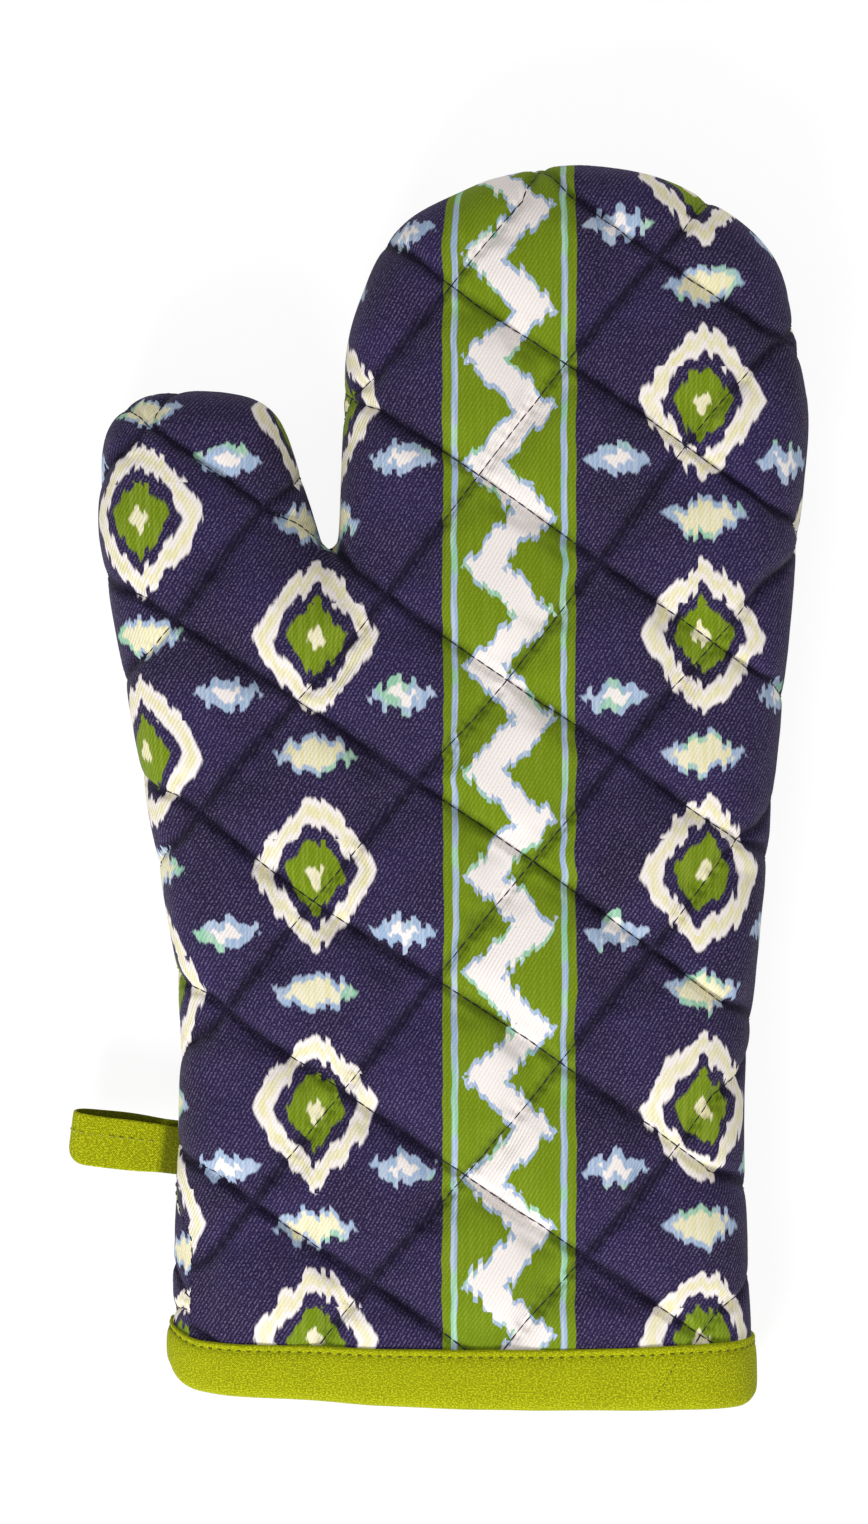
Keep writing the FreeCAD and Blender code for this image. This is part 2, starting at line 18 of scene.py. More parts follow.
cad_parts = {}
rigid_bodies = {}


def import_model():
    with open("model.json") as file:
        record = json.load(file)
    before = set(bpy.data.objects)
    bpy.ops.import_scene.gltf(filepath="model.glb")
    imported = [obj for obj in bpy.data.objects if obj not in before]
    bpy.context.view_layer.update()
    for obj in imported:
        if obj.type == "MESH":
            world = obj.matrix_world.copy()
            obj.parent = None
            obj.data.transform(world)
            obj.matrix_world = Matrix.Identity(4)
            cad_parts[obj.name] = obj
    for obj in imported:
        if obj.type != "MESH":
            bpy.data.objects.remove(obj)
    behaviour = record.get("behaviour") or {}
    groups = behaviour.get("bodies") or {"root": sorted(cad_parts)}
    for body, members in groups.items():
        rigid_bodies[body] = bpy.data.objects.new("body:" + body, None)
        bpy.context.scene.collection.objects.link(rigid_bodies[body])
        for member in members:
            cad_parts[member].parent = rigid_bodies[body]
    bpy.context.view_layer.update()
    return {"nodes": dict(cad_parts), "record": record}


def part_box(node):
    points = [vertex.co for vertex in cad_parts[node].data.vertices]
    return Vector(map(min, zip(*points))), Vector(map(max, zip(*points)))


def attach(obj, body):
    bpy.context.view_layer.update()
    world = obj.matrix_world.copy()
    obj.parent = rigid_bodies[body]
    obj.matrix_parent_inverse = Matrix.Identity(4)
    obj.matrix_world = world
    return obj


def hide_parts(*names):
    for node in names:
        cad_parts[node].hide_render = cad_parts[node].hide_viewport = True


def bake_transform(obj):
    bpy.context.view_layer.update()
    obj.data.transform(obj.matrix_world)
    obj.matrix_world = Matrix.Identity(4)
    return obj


for leftover in list(bpy.data.objects):
    bpy.data.objects.remove(leftover)

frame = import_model()

MM = 0.001

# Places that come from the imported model.
SEAM_Z = (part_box("side_seam_thread")[0].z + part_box("side_seam_thread")[1].z) / 2
MOUTH_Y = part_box("front_cover")[0].y
FRONT_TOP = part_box("front_cover")[1].z - SEAM_Z
BACK_TOP = SEAM_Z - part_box("back_cover")[0].z
COVER_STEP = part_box("front_batting")[0].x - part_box("front_cover")[0].x
BINDING_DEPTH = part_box("cuff_binding")[1].y - MOUTH_Y
HINGE = frame["record"]["behaviour"]["joints"][0]
LOOP_HINGE = Vector(HINGE["pos_m"])
LOOP_AXIS = Vector(HINGE["axis"]).normalized()

# Quilting lattice: pitch, angles of its two line directions and one crossing.
PITCH = 38 * MM
LINE_ANGLES = (math.radians(-35), math.radians(50.5))
CROSSING = np.array([10.5 * MM, MOUTH_Y + 193.5 * MM])
LATTICE = np.array([[-math.sin(a), math.cos(a)] for a in LINE_ANGLES]) / PITCH
ON_LINE = 0.02 * MM            # how near a point is to a quilting line that it lies on
GRID_CELLS = 8                 # cells each way from the crossing, enough to cover the mitt
GRID_SIDE, GRID_TOP = 0.11, 0.19   # the mitt lies within these along x and y
PANEL_DIVISIONS = 20
LINING_DIVISIONS = 9

# Outline of the side seam.
OUTLINE_STEP = 0.5 * MM
OUTLINE_ROUNDS = 90            # rounds of evening out
TAIL_POINTS = 60               # points of each straight tail below the mouth
SIDE_POINTS = 200              # points at each end of the outline that hold a side of the cuff
FORK_GUESS = (-33.8 * MM, MOUTH_Y + 216.5 * MM)

# Form of the two panels: its heights, where it rounds over, and how it shrinks to the mouth.
EDGE_ZONE = 9 * MM             # inset up to which points lie on rings along the seam
EDGE_RINGS = 11
LINING_RINGS = 8
SETTLE = 22 * MM               # distance beyond it over which points settle at their own place
SEAM_INSET = 1.2 * MM          # how far the seam draws in
MARGIN = 11 * MM               # width of the sewn margin inside
MARGIN_RISE = 2.6 * MM         # how far the linings stand off the seam to clear the margin
FORMS = {
    "front": {"sign": 1, "top": FRONT_TOP, "valley": 3.0 * MM, "round": 25 * MM, "power": 2.3,
              "bulge": 3.0 * MM, "taper": 110 * MM, "drop": 3.0 * MM},
    "back": {"sign": -1, "top": BACK_TOP, "valley": 1.9 * MM, "round": 20 * MM, "power": 2.6,
             "bulge": 2.4 * MM, "taper": 45 * MM, "drop": 2.8 * MM},
}
SEAM_ROLL = 18 * MM            # how far the thumb-side seam has rolled to the front by the cuff
ROLL_FADE = 70 * MM            # distance from the seam over which the back cloth evens this out

BATTING = {"front": 4.2 * MM, "back": 3.6 * MM}
LINING_DEPTH = {"front": 5.8 * MM, "back": 5.4 * MM}
LINING_PUFF = -0.35            # how far the lining follows the quilted cells, inward
LINING_SKIN = 0.5 * MM

rng = np.random.default_rng(7)


# ---------------------------------------------------------------- numbers and meshes

def smooth_step(low, high, value):
    """0 below low, 1 above high and a smooth rise between."""
    share = np.clip((value - low) / (high - low), 0, 1)
    return share * share * (3 - 2 * share)


def past_mouth(points, low, high):
    """Smooth rise from 0 to 1 between two distances from the mouth, in millimetres."""
    return smooth_step(low * MM, high * MM, points[:, 1] - MOUTH_Y)


def waves(points, wavelength, seed, count=7):
    """Smooth noise of about one unit over plan positions, from a few crossed waves."""
    source = np.random.default_rng(seed)
    total = np.zeros(len(points))
    for _ in range(count):
        angle, phase, stretch = source.uniform(0, 2 * np.pi, 2).tolist() + [source.uniform(0.7, 1.4)]
        direction = np.array([math.cos(angle), math.sin(angle)]) * 2 * np.pi / (wavelength * stretch)
        total += np.sin(points[:, :2] @ direction + phase)
    return total / math.sqrt(count)


def unit(vectors):
    """Vectors brought to length one."""
    return vectors / np.maximum(np.linalg.norm(vectors, axis=-1, keepdims=True), 1e-12)


def lengths_along(line):
    """Distance along a line at each of its points."""
    return np.concatenate([[0], np.cumsum(np.linalg.norm(np.diff(line, axis=0), axis=1))])


def sampled(line, places):
    """Points of a line at distances along it."""
    along = lengths_along(line)
    return np.stack([np.interp(places, along, line[:, k]) for k in range(line.shape[1])], axis=1)


def new_object(name, data):
    """New object in the scene."""
    made = bpy.data.objects.new(name, data)
    bpy.context.scene.collection.objects.link(made)
    return made


def make_piece(name, points, faces, flat=None, **maps):
    """New object from points and faces; its UV maps are named for what they hold."""
    mesh = bpy.data.meshes.new(name)
    mesh.from_pydata([tuple(p) for p in points], [], faces)
    mesh.update()
    mesh.polygons.foreach_set("use_smooth", [True] * len(mesh.polygons))
    index = np.empty(len(mesh.loops), dtype=int)
    mesh.loops.foreach_get("vertex_index", index)
    for title, values in maps.items():
        layer = mesh.uv_layers.new(name=title)
        layer.data.foreach_set("uv", np.asarray(values)[index].ravel())
    if flat is not None:
        mesh.attributes.new("flat", "FLOAT_VECTOR", "POINT").data.foreach_set("vector", flat.ravel())
    return new_object(name, mesh)


def place_piece(piece, slot, *nodes, body="mitt"):
    """A piece rides on a body and stands for CAD nodes, which it hides; slot is not used."""
    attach(piece, body)
    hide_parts(*nodes)


def rows_of(items, title):
    """A vector property of a mesh's items, as rows."""
    values = np.empty(len(items) * 3, dtype=np.float32)
    items.foreach_get(title, values)
    return values.reshape(-1, 3).astype(float)


def coordinates(mesh):
    """Positions of a mesh's vertices."""
    return rows_of(mesh.vertices, "co")


def set_coordinates(mesh, points):
    """Moves a mesh's vertices."""
    mesh.vertices.foreach_set("co", np.asarray(points).ravel())
    mesh.update()


def vertex_normals(mesh):
    """Normals of a mesh's vertices."""
    return rows_of(mesh.vertex_normals, "vector")


def relaxed(mesh, values, held):
    """Values at the vertices, evened out with their neighbours; held vertices keep theirs."""
    edges = np.empty(len(mesh.edges) * 2, dtype=int)
    mesh.edges.foreach_get("vertices", edges)
    edges = edges.reshape(-1, 2)
    count = np.bincount(edges.ravel(), minlength=len(values))[:, None]
    total = np.zeros_like(values)
    np.add.at(total, edges[:, 0], values[edges[:, 1]])
    np.add.at(total, edges[:, 1], values[edges[:, 0]])
    evened = (values + total / np.maximum(count, 1)) / 2
    evened[held] = values[held]
    return evened


def subdivided(piece):
    """Applies one level of subdivision surface."""
    modifier = piece.modifiers.new("smooth", "SUBSURF")
    modifier.levels = modifier.render_levels = 1
    graph = bpy.context.evaluated_depsgraph_get()
    graph.update()
    mesh = bpy.data.meshes.new_from_object(piece.evaluated_get(graph), preserve_all_data_layers=True,
                                           depsgraph=graph)
    piece.modifiers.clear()
    piece.data = mesh


def edited(piece, operation, **settings):
    """Runs a mesh operation on all faces of a piece."""
    work = bmesh.new()
    work.from_mesh(piece.data)
    operation(work, faces=work.faces, **settings)
    work.to_mesh(piece.data)
    work.free()


def join_quads(piece):
    """Joins pairs of triangles into quads where they are flat enough."""
    edited(piece, bmesh.ops.join_triangles, cmp_seam=False, angle_face_threshold=0.7,
           angle_shape_threshold=0.9)


def grid_faces(rows, columns, closed=False, first=0):
    """Quads of a grid of points, rows by columns, that starts at a first point."""
    faces = []
    for r in range(rows - 1):
        for c in range(columns if closed else columns - 1):
            beside = (c + 1) % columns
            corners = (r * columns + c, r * columns + beside, (r + 1) * columns + beside,
                       (r + 1) * columns + c)
            faces.append(tuple(first + corner for corner in corners))
    return faces


def add_tube(points, faces, centres, across, up, radii, sides):
    """Adds a tube round a path to lists of points and faces."""
    first = len(points)
    turns = np.linspace(0, 2 * np.pi, sides, endpoint=False)
    for centre, a, u, radius in zip(centres, across, up, radii):
        for turn in turns:
            points.append(centre + radius * (math.cos(turn) * a + math.sin(turn) * u))
    faces += grid_faces(len(centres), sides, closed=True, first=first)


# ---------------------------------------------------------------- outline of the side seam

def sliced(mesh, height):
    """Segments in which a mesh crosses a height."""
    points = coordinates(mesh)
    mesh.calc_loop_triangles()
    segments = []
    for triangle in mesh.loop_triangles:
        corners = [points[i] for i in triangle.vertices]
        crossings = []
        for pair in zip(corners, corners[1:] + corners[:1]):
            low, high = sorted(pair, key=lambda corner: corner[2])
            if low[2] <= height < high[2]:
                share = (height - low[2]) / (high[2] - low[2])
                crossings.append(tuple(np.round(low[:2] + share * (high[:2] - low[:2]), 7)))
        if len(crossings) == 2 and crossings[0] != crossings[1]:
            segments.append(crossings)
    return segments


def walked(segments):
    """The segments' line from the mouth's thumb side round to the mouth's other side."""
    near = {}
    for a, b in segments:
        near.setdefault(a, []).append(b)
        near.setdefault(b, []).append(a)
    start = min(p for p in near if abs(p[1] - MOUTH_Y) < 1e-5)
    line = [start, max(near[start], key=lambda p: p[1])]
    while line[-1][1] > MOUTH_Y + 1e-5:
        line.append(next(p for p in near[line[-1]] if p != line[-2]))
    return np.array(line)


def seam_outline():
    """The seam's outline in plan, closely sampled, with straight tails, and its fork."""
    line = walked(sliced(frame["nodes"]["front_batting"].data, SEAM_Z + 5 * MM))
    line = sampled(line, np.arange(0, lengths_along(line)[-1], OUTLINE_STEP))
    fork = line[np.argmin(np.hypot(line[:, 0] - FORK_GUESS[0], line[:, 1] - FORK_GUESS[1]))]
    away = smooth_step(2 * MM, 9 * MM, np.linalg.norm(line - fork, axis=1))[1:-1, None]
    for _ in range(OUTLINE_ROUNDS):
        line[1:-1] += 0.5 * away * ((line[:-2] + line[2:]) / 2 - line[1:-1])
    tangents = unit(np.gradient(line, axis=0))
    line = line + COVER_STEP * np.stack([-tangents[:, 1], tangents[:, 0]], axis=1)
    tail = np.outer(np.arange(1, TAIL_POINTS + 1) * OUTLINE_STEP, [0, -1])
    return np.concatenate([line[0] + tail[::-1], line, line[-1] + tail]), fork


OUTLINE, FORK = seam_outline()
INWARD = unit(np.gradient(OUTLINE, axis=0))[:, ::-1] * np.array([1, -1])
OUTLINE_TREE = KDTree(len(OUTLINE))
for number, point in enumerate(OUTLINE):
    OUTLINE_TREE.insert((point[0], point[1], 0), number)
OUTLINE_TREE.balance()


def cuff_sides(y):
    """Where the outline's two sides are at a height near the mouth, thumb side first."""
    sides = (OUTLINE[:SIDE_POINTS], OUTLINE[:-SIDE_POINTS:-1])
    return [float(np.interp(y, side[:, 1], side[:, 0])) for side in sides]


CUFF_X = cuff_sides(MOUTH_Y)


def from_outline(points):
    """Inset of plan points, the outline's nearest point and the direction inward from it."""
    points = np.asarray(points)[:, :2]
    nearest = np.array([OUTLINE_TREE.find((x, y, 0))[1] for x, y in points])
    feet = OUTLINE[nearest]
    inward = INWARD[nearest]
    distance = np.linalg.norm(points - feet, axis=1)
    for step in (-1, 0):
        begin = np.clip(nearest + step, 0, len(OUTLINE) - 2)
        start, run = OUTLINE[begin], OUTLINE[begin + 1] - OUTLINE[begin]
        share = np.clip(((points - start) * run).sum(axis=1) / (run ** 2).sum(axis=1), 0, 1)[:, None]
        foot = start + share * run
        closer = np.linalg.norm(points - foot, axis=1) <= distance
        feet = np.where(closer[:, None], foot, feet)
        blend = unit(INWARD[begin] * (1 - share) + INWARD[begin + 1] * share)
        inward = np.where(closer[:, None], blend, inward)
        distance = np.linalg.norm(points - feet, axis=1)
    gap = points - feet
    inset = distance * np.sign((gap * inward).sum(axis=1) + 1e-12)
    far = inset > 0.3 * MM
    inward[far] = unit(gap[far])
    return inset, feet, inward


# ---------------------------------------------------------------- stuffed form

def form_profile(form, depth):
    """Rows of inset and rise above the seam, from the seam or the margin up to the panel's top."""
    top = form["top"] - max(form["valley"], depth)
    bend = np.linspace(0, np.pi / 2, 60)
    bulge = min(form["bulge"], top / 3)
    low_inset = SEAM_INSET * (1 - np.sin(bend))
    low_rise = bulge * (1 - np.cos(bend))
    curl = 2 / form["power"]
    high_inset = (form["round"] - depth) * (1 - np.cos(bend) ** curl)
    high_rise = bulge + (top - bulge) * np.sin(bend) ** curl
    inset = np.concatenate([low_inset[:-1], high_inset]) + depth
    rise = np.concatenate([low_rise[:-1], high_rise])
    if depth:
        margin = np.linspace(MARGIN, depth + SEAM_INSET, 12)[:-1]
        inset = np.concatenate([margin, inset])
        rise = np.concatenate([np.full(len(margin), MARGIN_RISE), np.maximum(rise, MARGIN_RISE)])
    return np.stack([inset, rise], axis=1)


class Section:
    """Section of one panel, or of its lining at a depth below it, by distance along the cloth."""

    def __init__(self, form, depth=0.0):
        self.profile = form_profile(form, depth)
        self.along = lengths_along(self.profile)
        self.settled = np.argmax((self.profile[:, 0] >= EDGE_ZONE + depth) & (self.along > EDGE_ZONE))
        self.edge = self.along[self.settled]

    def place(self, inset):
        """Distance along the cloth of a flat inset."""
        return np.where(inset < EDGE_ZONE, np.clip(inset / EDGE_ZONE, 0, 1) * self.edge,
                        self.edge + inset - EDGE_ZONE)

    def at(self, place):
        """Inset in plan and rise above the seam, at distances along the cloth."""
        settled = self.profile[self.settled:]
        inset = np.maximum(EDGE_ZONE + place - self.edge, EDGE_ZONE)
        step = (settled[0, 0] - EDGE_ZONE) * (1 - smooth_step(EDGE_ZONE, EDGE_ZONE + SETTLE, inset))
        deep = inset + step
        by_edge = place < self.edge
        edge_inset = np.interp(place, self.along, self.profile[:, 0])
        edge_rise = np.interp(place, self.along, self.profile[:, 1])
        rise = np.interp(deep, settled[:, 0], settled[:, 1])
        return np.where(by_edge, edge_inset, deep), np.where(by_edge, edge_rise, rise)


FRONT_SECTION = Section(FORMS["front"])


def taper(form, y):
    """Share of a panel's height that is left, which shrinks towards the mouth."""
    near = np.clip(1 - (y - MOUTH_Y) / form["taper"], 0, 1)
    return 1 - form["drop"] / form["top"] * near


def cell_place(points):
    """Lattice coordinates of plan points: whole numbers lie on quilting lines."""
    return (points[:, :2] - CROSSING) @ LATTICE.T


def line_distance(points):
    """Distance from plan points to the nearest quilting line."""
    place = cell_place(points)
    return np.abs(place - np.round(place)).min(axis=1) * PITCH


def puffed(points):
    """How full the quilting is at plan points: 0 on a line and 1 in a cell's middle."""
    swell = np.abs(np.sin(np.pi * cell_place(points)))
    return np.clip(swell[:, 0] * swell[:, 1], 0, 1) ** 0.32


def wandered(points, inset):
    """Plan points after the small wandering of hand-guided quilting."""
    free = smooth_step(4 * MM, 28 * MM, inset) * past_mouth(points, 0, 30)
    shift = np.stack([waves(points, 110 * MM, 11), waves(points, 90 * MM, 12)], axis=1)
    return points + shift * free[:, None] * 1.2 * MM


DRAWN_FROM = 26 * MM           # x from which the mouth is drawn up towards the thumb side
CORNER_WIDTH = 9 * MM          # width of its rounded corner on the thumb side
KINK_WIDTH = 5 * MM            # width of its small kink on the other side


def cuffed(places):
    """Places near the mouth once it hangs unevenly: drawn up and rounded on the thumb side."""
    x = places[:, 0]
    drawn = np.clip((DRAWN_FROM - x) / (DRAWN_FROM - CUFF_X[0]), 0, 1)
    corner = np.clip((CORNER_WIDTH - (x - CUFF_X[0])) / CORNER_WIDTH, 0, 1)
    kink = np.clip((KINK_WIDTH - (CUFF_X[1] - x)) / KINK_WIDTH, 0, 1)
    at_fold = 5.2 * drawn ** 1.7 + 5.5 * (1 - np.sqrt(1 - 0.96 * corner ** 2)) + 1.2 * kink ** 2
    at_edge = 2.4 * drawn ** 2.5 + 3.2 * corner ** 2 + 1.4 * smooth_step(20 * MM, 78 * MM, x)
    share = np.clip((places[:, 1] - MOUTH_Y) / BINDING_DEPTH, 0, 1)
    lift = (at_fold * (1 - share) + at_edge * share) * past_mouth(places, 40, 14)
    places = places.copy()
    places[:, 1] += lift * MM
    return places


def seam_slip(feet):
    """How far round the section the side seam has rolled to the front, by points of the outline."""
    return SEAM_ROLL * past_mouth(feet, 64, 42) * (feet[:, 0] < 0)


def front_edge(feet):
    """Inset at which the front panel ends, by points of the outline."""
    return EDGE_ZONE * seam_slip(feet) / FRONT_SECTION.edge


def rolled(section, place, plan_inset, inset, feet):
    """How the rolled seam changes the back: shift inward, rise, where it is on the front, rise there."""
    slid = place - seam_slip(feet) * smooth_step(ROLL_FADE, 0, inset)
    slid_inset, rise = section.at(np.maximum(slid, 0))
    front_inset, front_rise = FRONT_SECTION.at(np.maximum(-slid, 0))
    turned = slid < 0
    return np.where(turned, front_inset, slid_inset) - plan_inset, rise, turned, front_rise


def raised(side, points, depth=0.0):
    """Places on a side's stuffed form of plan points, and where they lie on the flat cloth."""
    form = FORMS[side]
    section = Section(form, depth)
    inset, feet, inward = from_outline(points)
    from_edge = inset - front_edge(feet) if side == "front" and not depth else inset
    at_edge = inset < EDGE_ZONE
    place = section.place(inset)
    plan_inset, rise = section.at(place)
    settling = (inset < EDGE_ZONE + SETTLE)[:, None]
    plan = np.where(settling, feet + inward * plan_inset[:, None], points[:, :2])
    plan = wandered(plan, from_edge)
    dent = smooth_step(8 * MM, 0, line_distance(points)) * smooth_step(0.5 * MM, 6 * MM, from_edge)
    plan += inward * (dent * (1 - np.clip(inset / EDGE_ZONE, 0, 1)) * 0.8 * MM)[:, None]
    free = past_mouth(points, 12, 26)
    swell = (puffed(points) * free + 0.5 * (1 - free)) * smooth_step(0, 8 * MM, from_edge)
    swell = swell * form["valley"] * (LINING_PUFF if depth else 1)
    cloth_inset = place - section.edge + EDGE_ZONE
    cloth = np.where(at_edge[:, None], feet + inward * cloth_inset[:, None], plan)
    if depth:
        narrowed = past_mouth(points, 21, 15)
        over = np.maximum(plan_inset - depth - SEAM_INSET, 0) * (narrowed * at_edge * (rise < 3 * MM))
        plan -= inward * over[:, None]
        rise = rise - np.maximum(rise - 0.2 * MM, 0) * narrowed * (place < 5 * MM) * at_edge
    elif side == "back":
        shift, rise, turned, front_rise = rolled(section, place, plan_inset, inset, feet)
        slide = inward * shift[:, None]
        slide[:, 1] *= past_mouth(points, 0, 30)
        plan += slide
    z = form["sign"] * (rise + swell) * taper(form, plan[:, 1])
    if side == "back" and not depth:
        z = np.where(turned, (front_rise + swell) * taper(FORMS["front"], plan[:, 1]), z)
    return cuffed(np.column_stack([plan, SEAM_Z + z])), cloth


# ---------------------------------------------------------------- flat mesh of a panel

def line_crossings(line):
    """Distances along a line at which it crosses quilting lines."""
    along, place = lengths_along(line), cell_place(line)
    found = []
    for value in place.T:
        for k in range(len(value) - 1):
            low, high = sorted((value[k], value[k + 1]))
            for whole in range(math.ceil(low), math.floor(high) + 1):
                if high > low:
                    share = (whole - value[k]) / (value[k + 1] - value[k])
                    found.append(along[k] + share * (along[k + 1] - along[k]))
    return sorted(found)


def stepped(line, step):
    """Points along a line about a step apart, with one at each crossing of a quilting line."""
    total = lengths_along(line)[-1]
    stops = [0.0]
    for place in line_crossings(line):
        if 0.4 * step < place - stops[-1] and place < total - 0.4 * step:
            stops.append(place)
    stops.append(total)
    places = [0.0]
    for begin, end in zip(stops, stops[1:]):
        count = max(1, round((end - begin) / step))
        places += np.linspace(begin, end, count + 1)[1:].tolist()
    return sampled(line, np.array(places))


def ring(inset, edge=0.0):
    """Line at an inset from the outline, from mouth to mouth; rings crowd where the panel ends early."""
    edge = np.broadcast_to(edge, len(OUTLINE))[:, None]
    line = OUTLINE + INWARD * (edge + inset * (1 - edge / EDGE_ZONE))
    inside = np.flatnonzero(line[:, 1] > MOUTH_Y)
    line = line[inside[0]:inside[-1] + 1]
    ends = np.array([[line[0, 0], MOUTH_Y], [line[-1, 0], MOUTH_Y]])
    return np.concatenate([ends[:1], line, ends[1:]])


def lattice_grid(per_cell):
    """Points on and between the quilting lines, where they lie inside the rings."""
    clear = 0.6 * PITCH / per_cell
    reach = np.arange(-GRID_CELLS * per_cell, GRID_CELLS * per_cell + 1) / per_cell
    places = np.stack(np.meshgrid(reach, reach), axis=-1).reshape(-1, 2)
    grid = CROSSING + places @ np.linalg.inv(LATTICE).T
    near = (np.abs(grid[:, 0]) < GRID_SIDE) & (grid[:, 1] < GRID_TOP)
    grid = grid[near & (grid[:, 1] > MOUTH_Y + clear)]
    return grid[from_outline(grid)[0] > EDGE_ZONE + clear]


def line_chains(points, longest):
    """Points of each quilting line in order, parted where neighbours are too far apart."""
    place = cell_place(points)
    chains = []
    for family in (0, 1):
        whole = np.round(place[:, family])
        on_line = np.abs(place[:, family] - whole) * PITCH < ON_LINE
        for number in np.unique(whole[on_line]):
            chain = np.flatnonzero(on_line & (whole == number))
            chain = chain[np.argsort(place[chain, 1 - family])]
            gaps = np.linalg.norm(np.diff(points[chain], axis=0), axis=1)
            chains += np.split(chain, np.flatnonzero(gaps > longest) + 1)
    return chains


def flat_mesh(per_cell, ring_count, edge=0.0):
    """Plan points and faces of a panel, aligned to its rings and to the quilting lattice."""
    step = PITCH / per_cell
    rings = [stepped(ring(i, edge), step) for i in np.linspace(0, EDGE_ZONE, ring_count)]
    mouth = stepped(np.stack([rings[-1][0], rings[-1][-1]]), step)[1:-1]
    points = np.concatenate(rings + [mouth, lattice_grid(per_cell)])
    starts = np.cumsum([0] + [len(r) for r in rings])
    left, right = starts[:-1].tolist(), (starts[1:] - 1).tolist()
    across = left + list(range(starts[-1], starts[-1] + len(mouth))) + right[::-1]
    lines = [across, range(len(rings[0]))]
    lines += [chain.tolist() for chain in line_chains(points, 2.2 * step)]
    edges = [pair for line in lines for pair in zip(line, line[1:])]
    found = delaunay_2d_cdt([Vector(p / MM) for p in points], edges, [], 1, 1e-3)
    return np.array([tuple(v) for v in found[0]]) * MM, [tuple(f) for f in found[2]]


# ---------------------------------------------------------------- padded panels

CLOTH_SETTINGS = {
    "quality": 5, "mass": 0.002, "air_damping": 1.0, "tension_stiffness": 6, "compression_stiffness": 6,
    "shear_stiffness": 4, "bending_stiffness": 0.02, "vertex_group_mass": "pinned",
    "use_pressure": True, "uniform_pressure_force": 30, "shrink_min": -0.035,
}
SWELL_FRAMES = 20
SWELL_CAP = 1.5 * MM           # no point moves further than this in the simulation


def swollen(piece, pinned):
    """Places of a piece's points once a cloth simulation has swelled the cells between pinned lines."""
    start = coordinates(piece.data)
    group = piece.vertex_groups.new(name="pinned")
    group.add(pinned.tolist(), 1.0, "REPLACE")
    cloth = piece.modifiers.new("swell", "CLOTH")
    for title, value in CLOTH_SETTINGS.items():
        setattr(cloth.settings, title, value)
    cloth.settings.effector_weights.gravity = 0
    cloth.collision_settings.use_collision = False
    scene = bpy.context.scene
    for number in range(1, SWELL_FRAMES + 1):
        scene.frame_set(number)
    graph = bpy.context.evaluated_depsgraph_get()
    shift = coordinates(piece.evaluated_get(graph).data) - start
    piece.modifiers.clear()
    piece.vertex_groups.clear()
    scene.frame_set(1)
    size = np.linalg.norm(shift, axis=1, keepdims=True)
    shift *= np.minimum(1, SWELL_CAP / np.maximum(size, 1e-9))
    return start + relaxed(piece.data, shift, pinned)


# Folds that run out of the fork: direction, length, depth and width in millimetres.
FORK_FOLDS = (((0.0, -1.0), 13, 2.6, 1.1), ((0.86, -0.5), 24, 1.3, 1.8), ((-0.75, -0.66), 14, 0.8, 1.8))


def fork_tuck(points):
    """Depth of the folds that run out of the fork between thumb and hand."""
    depth = np.zeros(len(points))
    for direction, length, deep, width in FORK_FOLDS:
        direction = unit(np.array(direction))
        gap = points[:, :2] - FORK
        onward = gap @ direction
        beside = np.abs(gap @ np.array([-direction[1], direction[0]]))
        fade = smooth_step(-2 * MM, 1 * MM, onward) * smooth_step(length * MM, 0, onward)
        depth += deep * MM * fade * np.exp(-(beside / (width * MM)) ** 2)
    return depth


def make_lining(side):
    """Lining of one panel: a thin sheet inside the batting, sewn along the margin."""
    plan, faces = flat_mesh(LINING_DIVISIONS, LINING_RINGS)
    if side == "front":
        faces = [face[::-1] for face in faces]
    places, cloth = raised(side, plan, LINING_DEPTH[side])
    piece = make_piece(side + "_lining_sheet", places, faces, cloth=cloth)
    join_quads(piece)
    subdivided(piece)
    fine = coordinates(piece.data)
    fine[:, 2] += waves(fine, 24 * MM, 31, 9) * 0.25 * MM
    set_coordinates(piece.data, fine)
    skin = piece.modifiers.new("thickness", "SOLIDIFY")
    skin.thickness = LINING_SKIN
    skin.offset = -1
    place_piece(piece, "plain_lining", side + "_lining")
    return piece


def room_inside(piece, lining):
    """Distance from a panel's cover straight in to its lining."""
    farthest = 12 * MM
    corners = [tuple(face.vertices) for face in lining.data.polygons]
    tree = BVHTree.FromPolygons(coordinates(lining.data).tolist(), corners)
    room = []
    for place, normal in zip(coordinates(piece.data), vertex_normals(piece.data)):
        distance = tree.ray_cast(Vector(place), Vector(-normal), farthest)[3]
        room.append(farthest if distance is None else distance)
    return np.array(room)


def quilt_relief(flat):
    """Small lumps and creases along the quilting lines, in millimetres, by places on the flat panel."""
    inset, apart = flat[:, 2], line_distance(flat)
    free = 0.1 + 0.9 * past_mouth(flat, 11, 22)
    lumps = 0.30 * waves(flat, 6.5 * MM, 21, 12) * np.exp(-apart / (3.5 * MM))
    lumps += 0.26 * waves(flat, 26 * MM, 22, 9)
    crease = 1.3 * np.exp(-apart / (1.1 * MM)) * smooth_step(0.2 * MM, 3 * MM, inset)
    return (lumps * smooth_step(1 * MM, 7 * MM, inset) - crease) * free


def add_batting(piece, side, lining, flat):
    """Thickness of a panel's batting, thin in the seam and as far as there is room."""
    batting = piece.modifiers.new("batting", "SOLIDIFY")
    batting.thickness = BATTING[side]
    batting.offset = -1
    group = piece.vertex_groups.new(name="loft")
    batting.vertex_group = group.name
    loft = 0.2 + 0.8 * smooth_step(0, 14 * MM, flat[:, 2]) * (0.5 + 0.5 * puffed(flat))
    room = room_inside(piece, lining) - LINING_SKIN - 0.2 * MM
    levels = np.floor(np.clip(room / batting.thickness, 0.05, loft) * 20).astype(int)
    for level in np.unique(levels):
        group.add(np.flatnonzero(levels == level).tolist(), level / 20, "REPLACE")


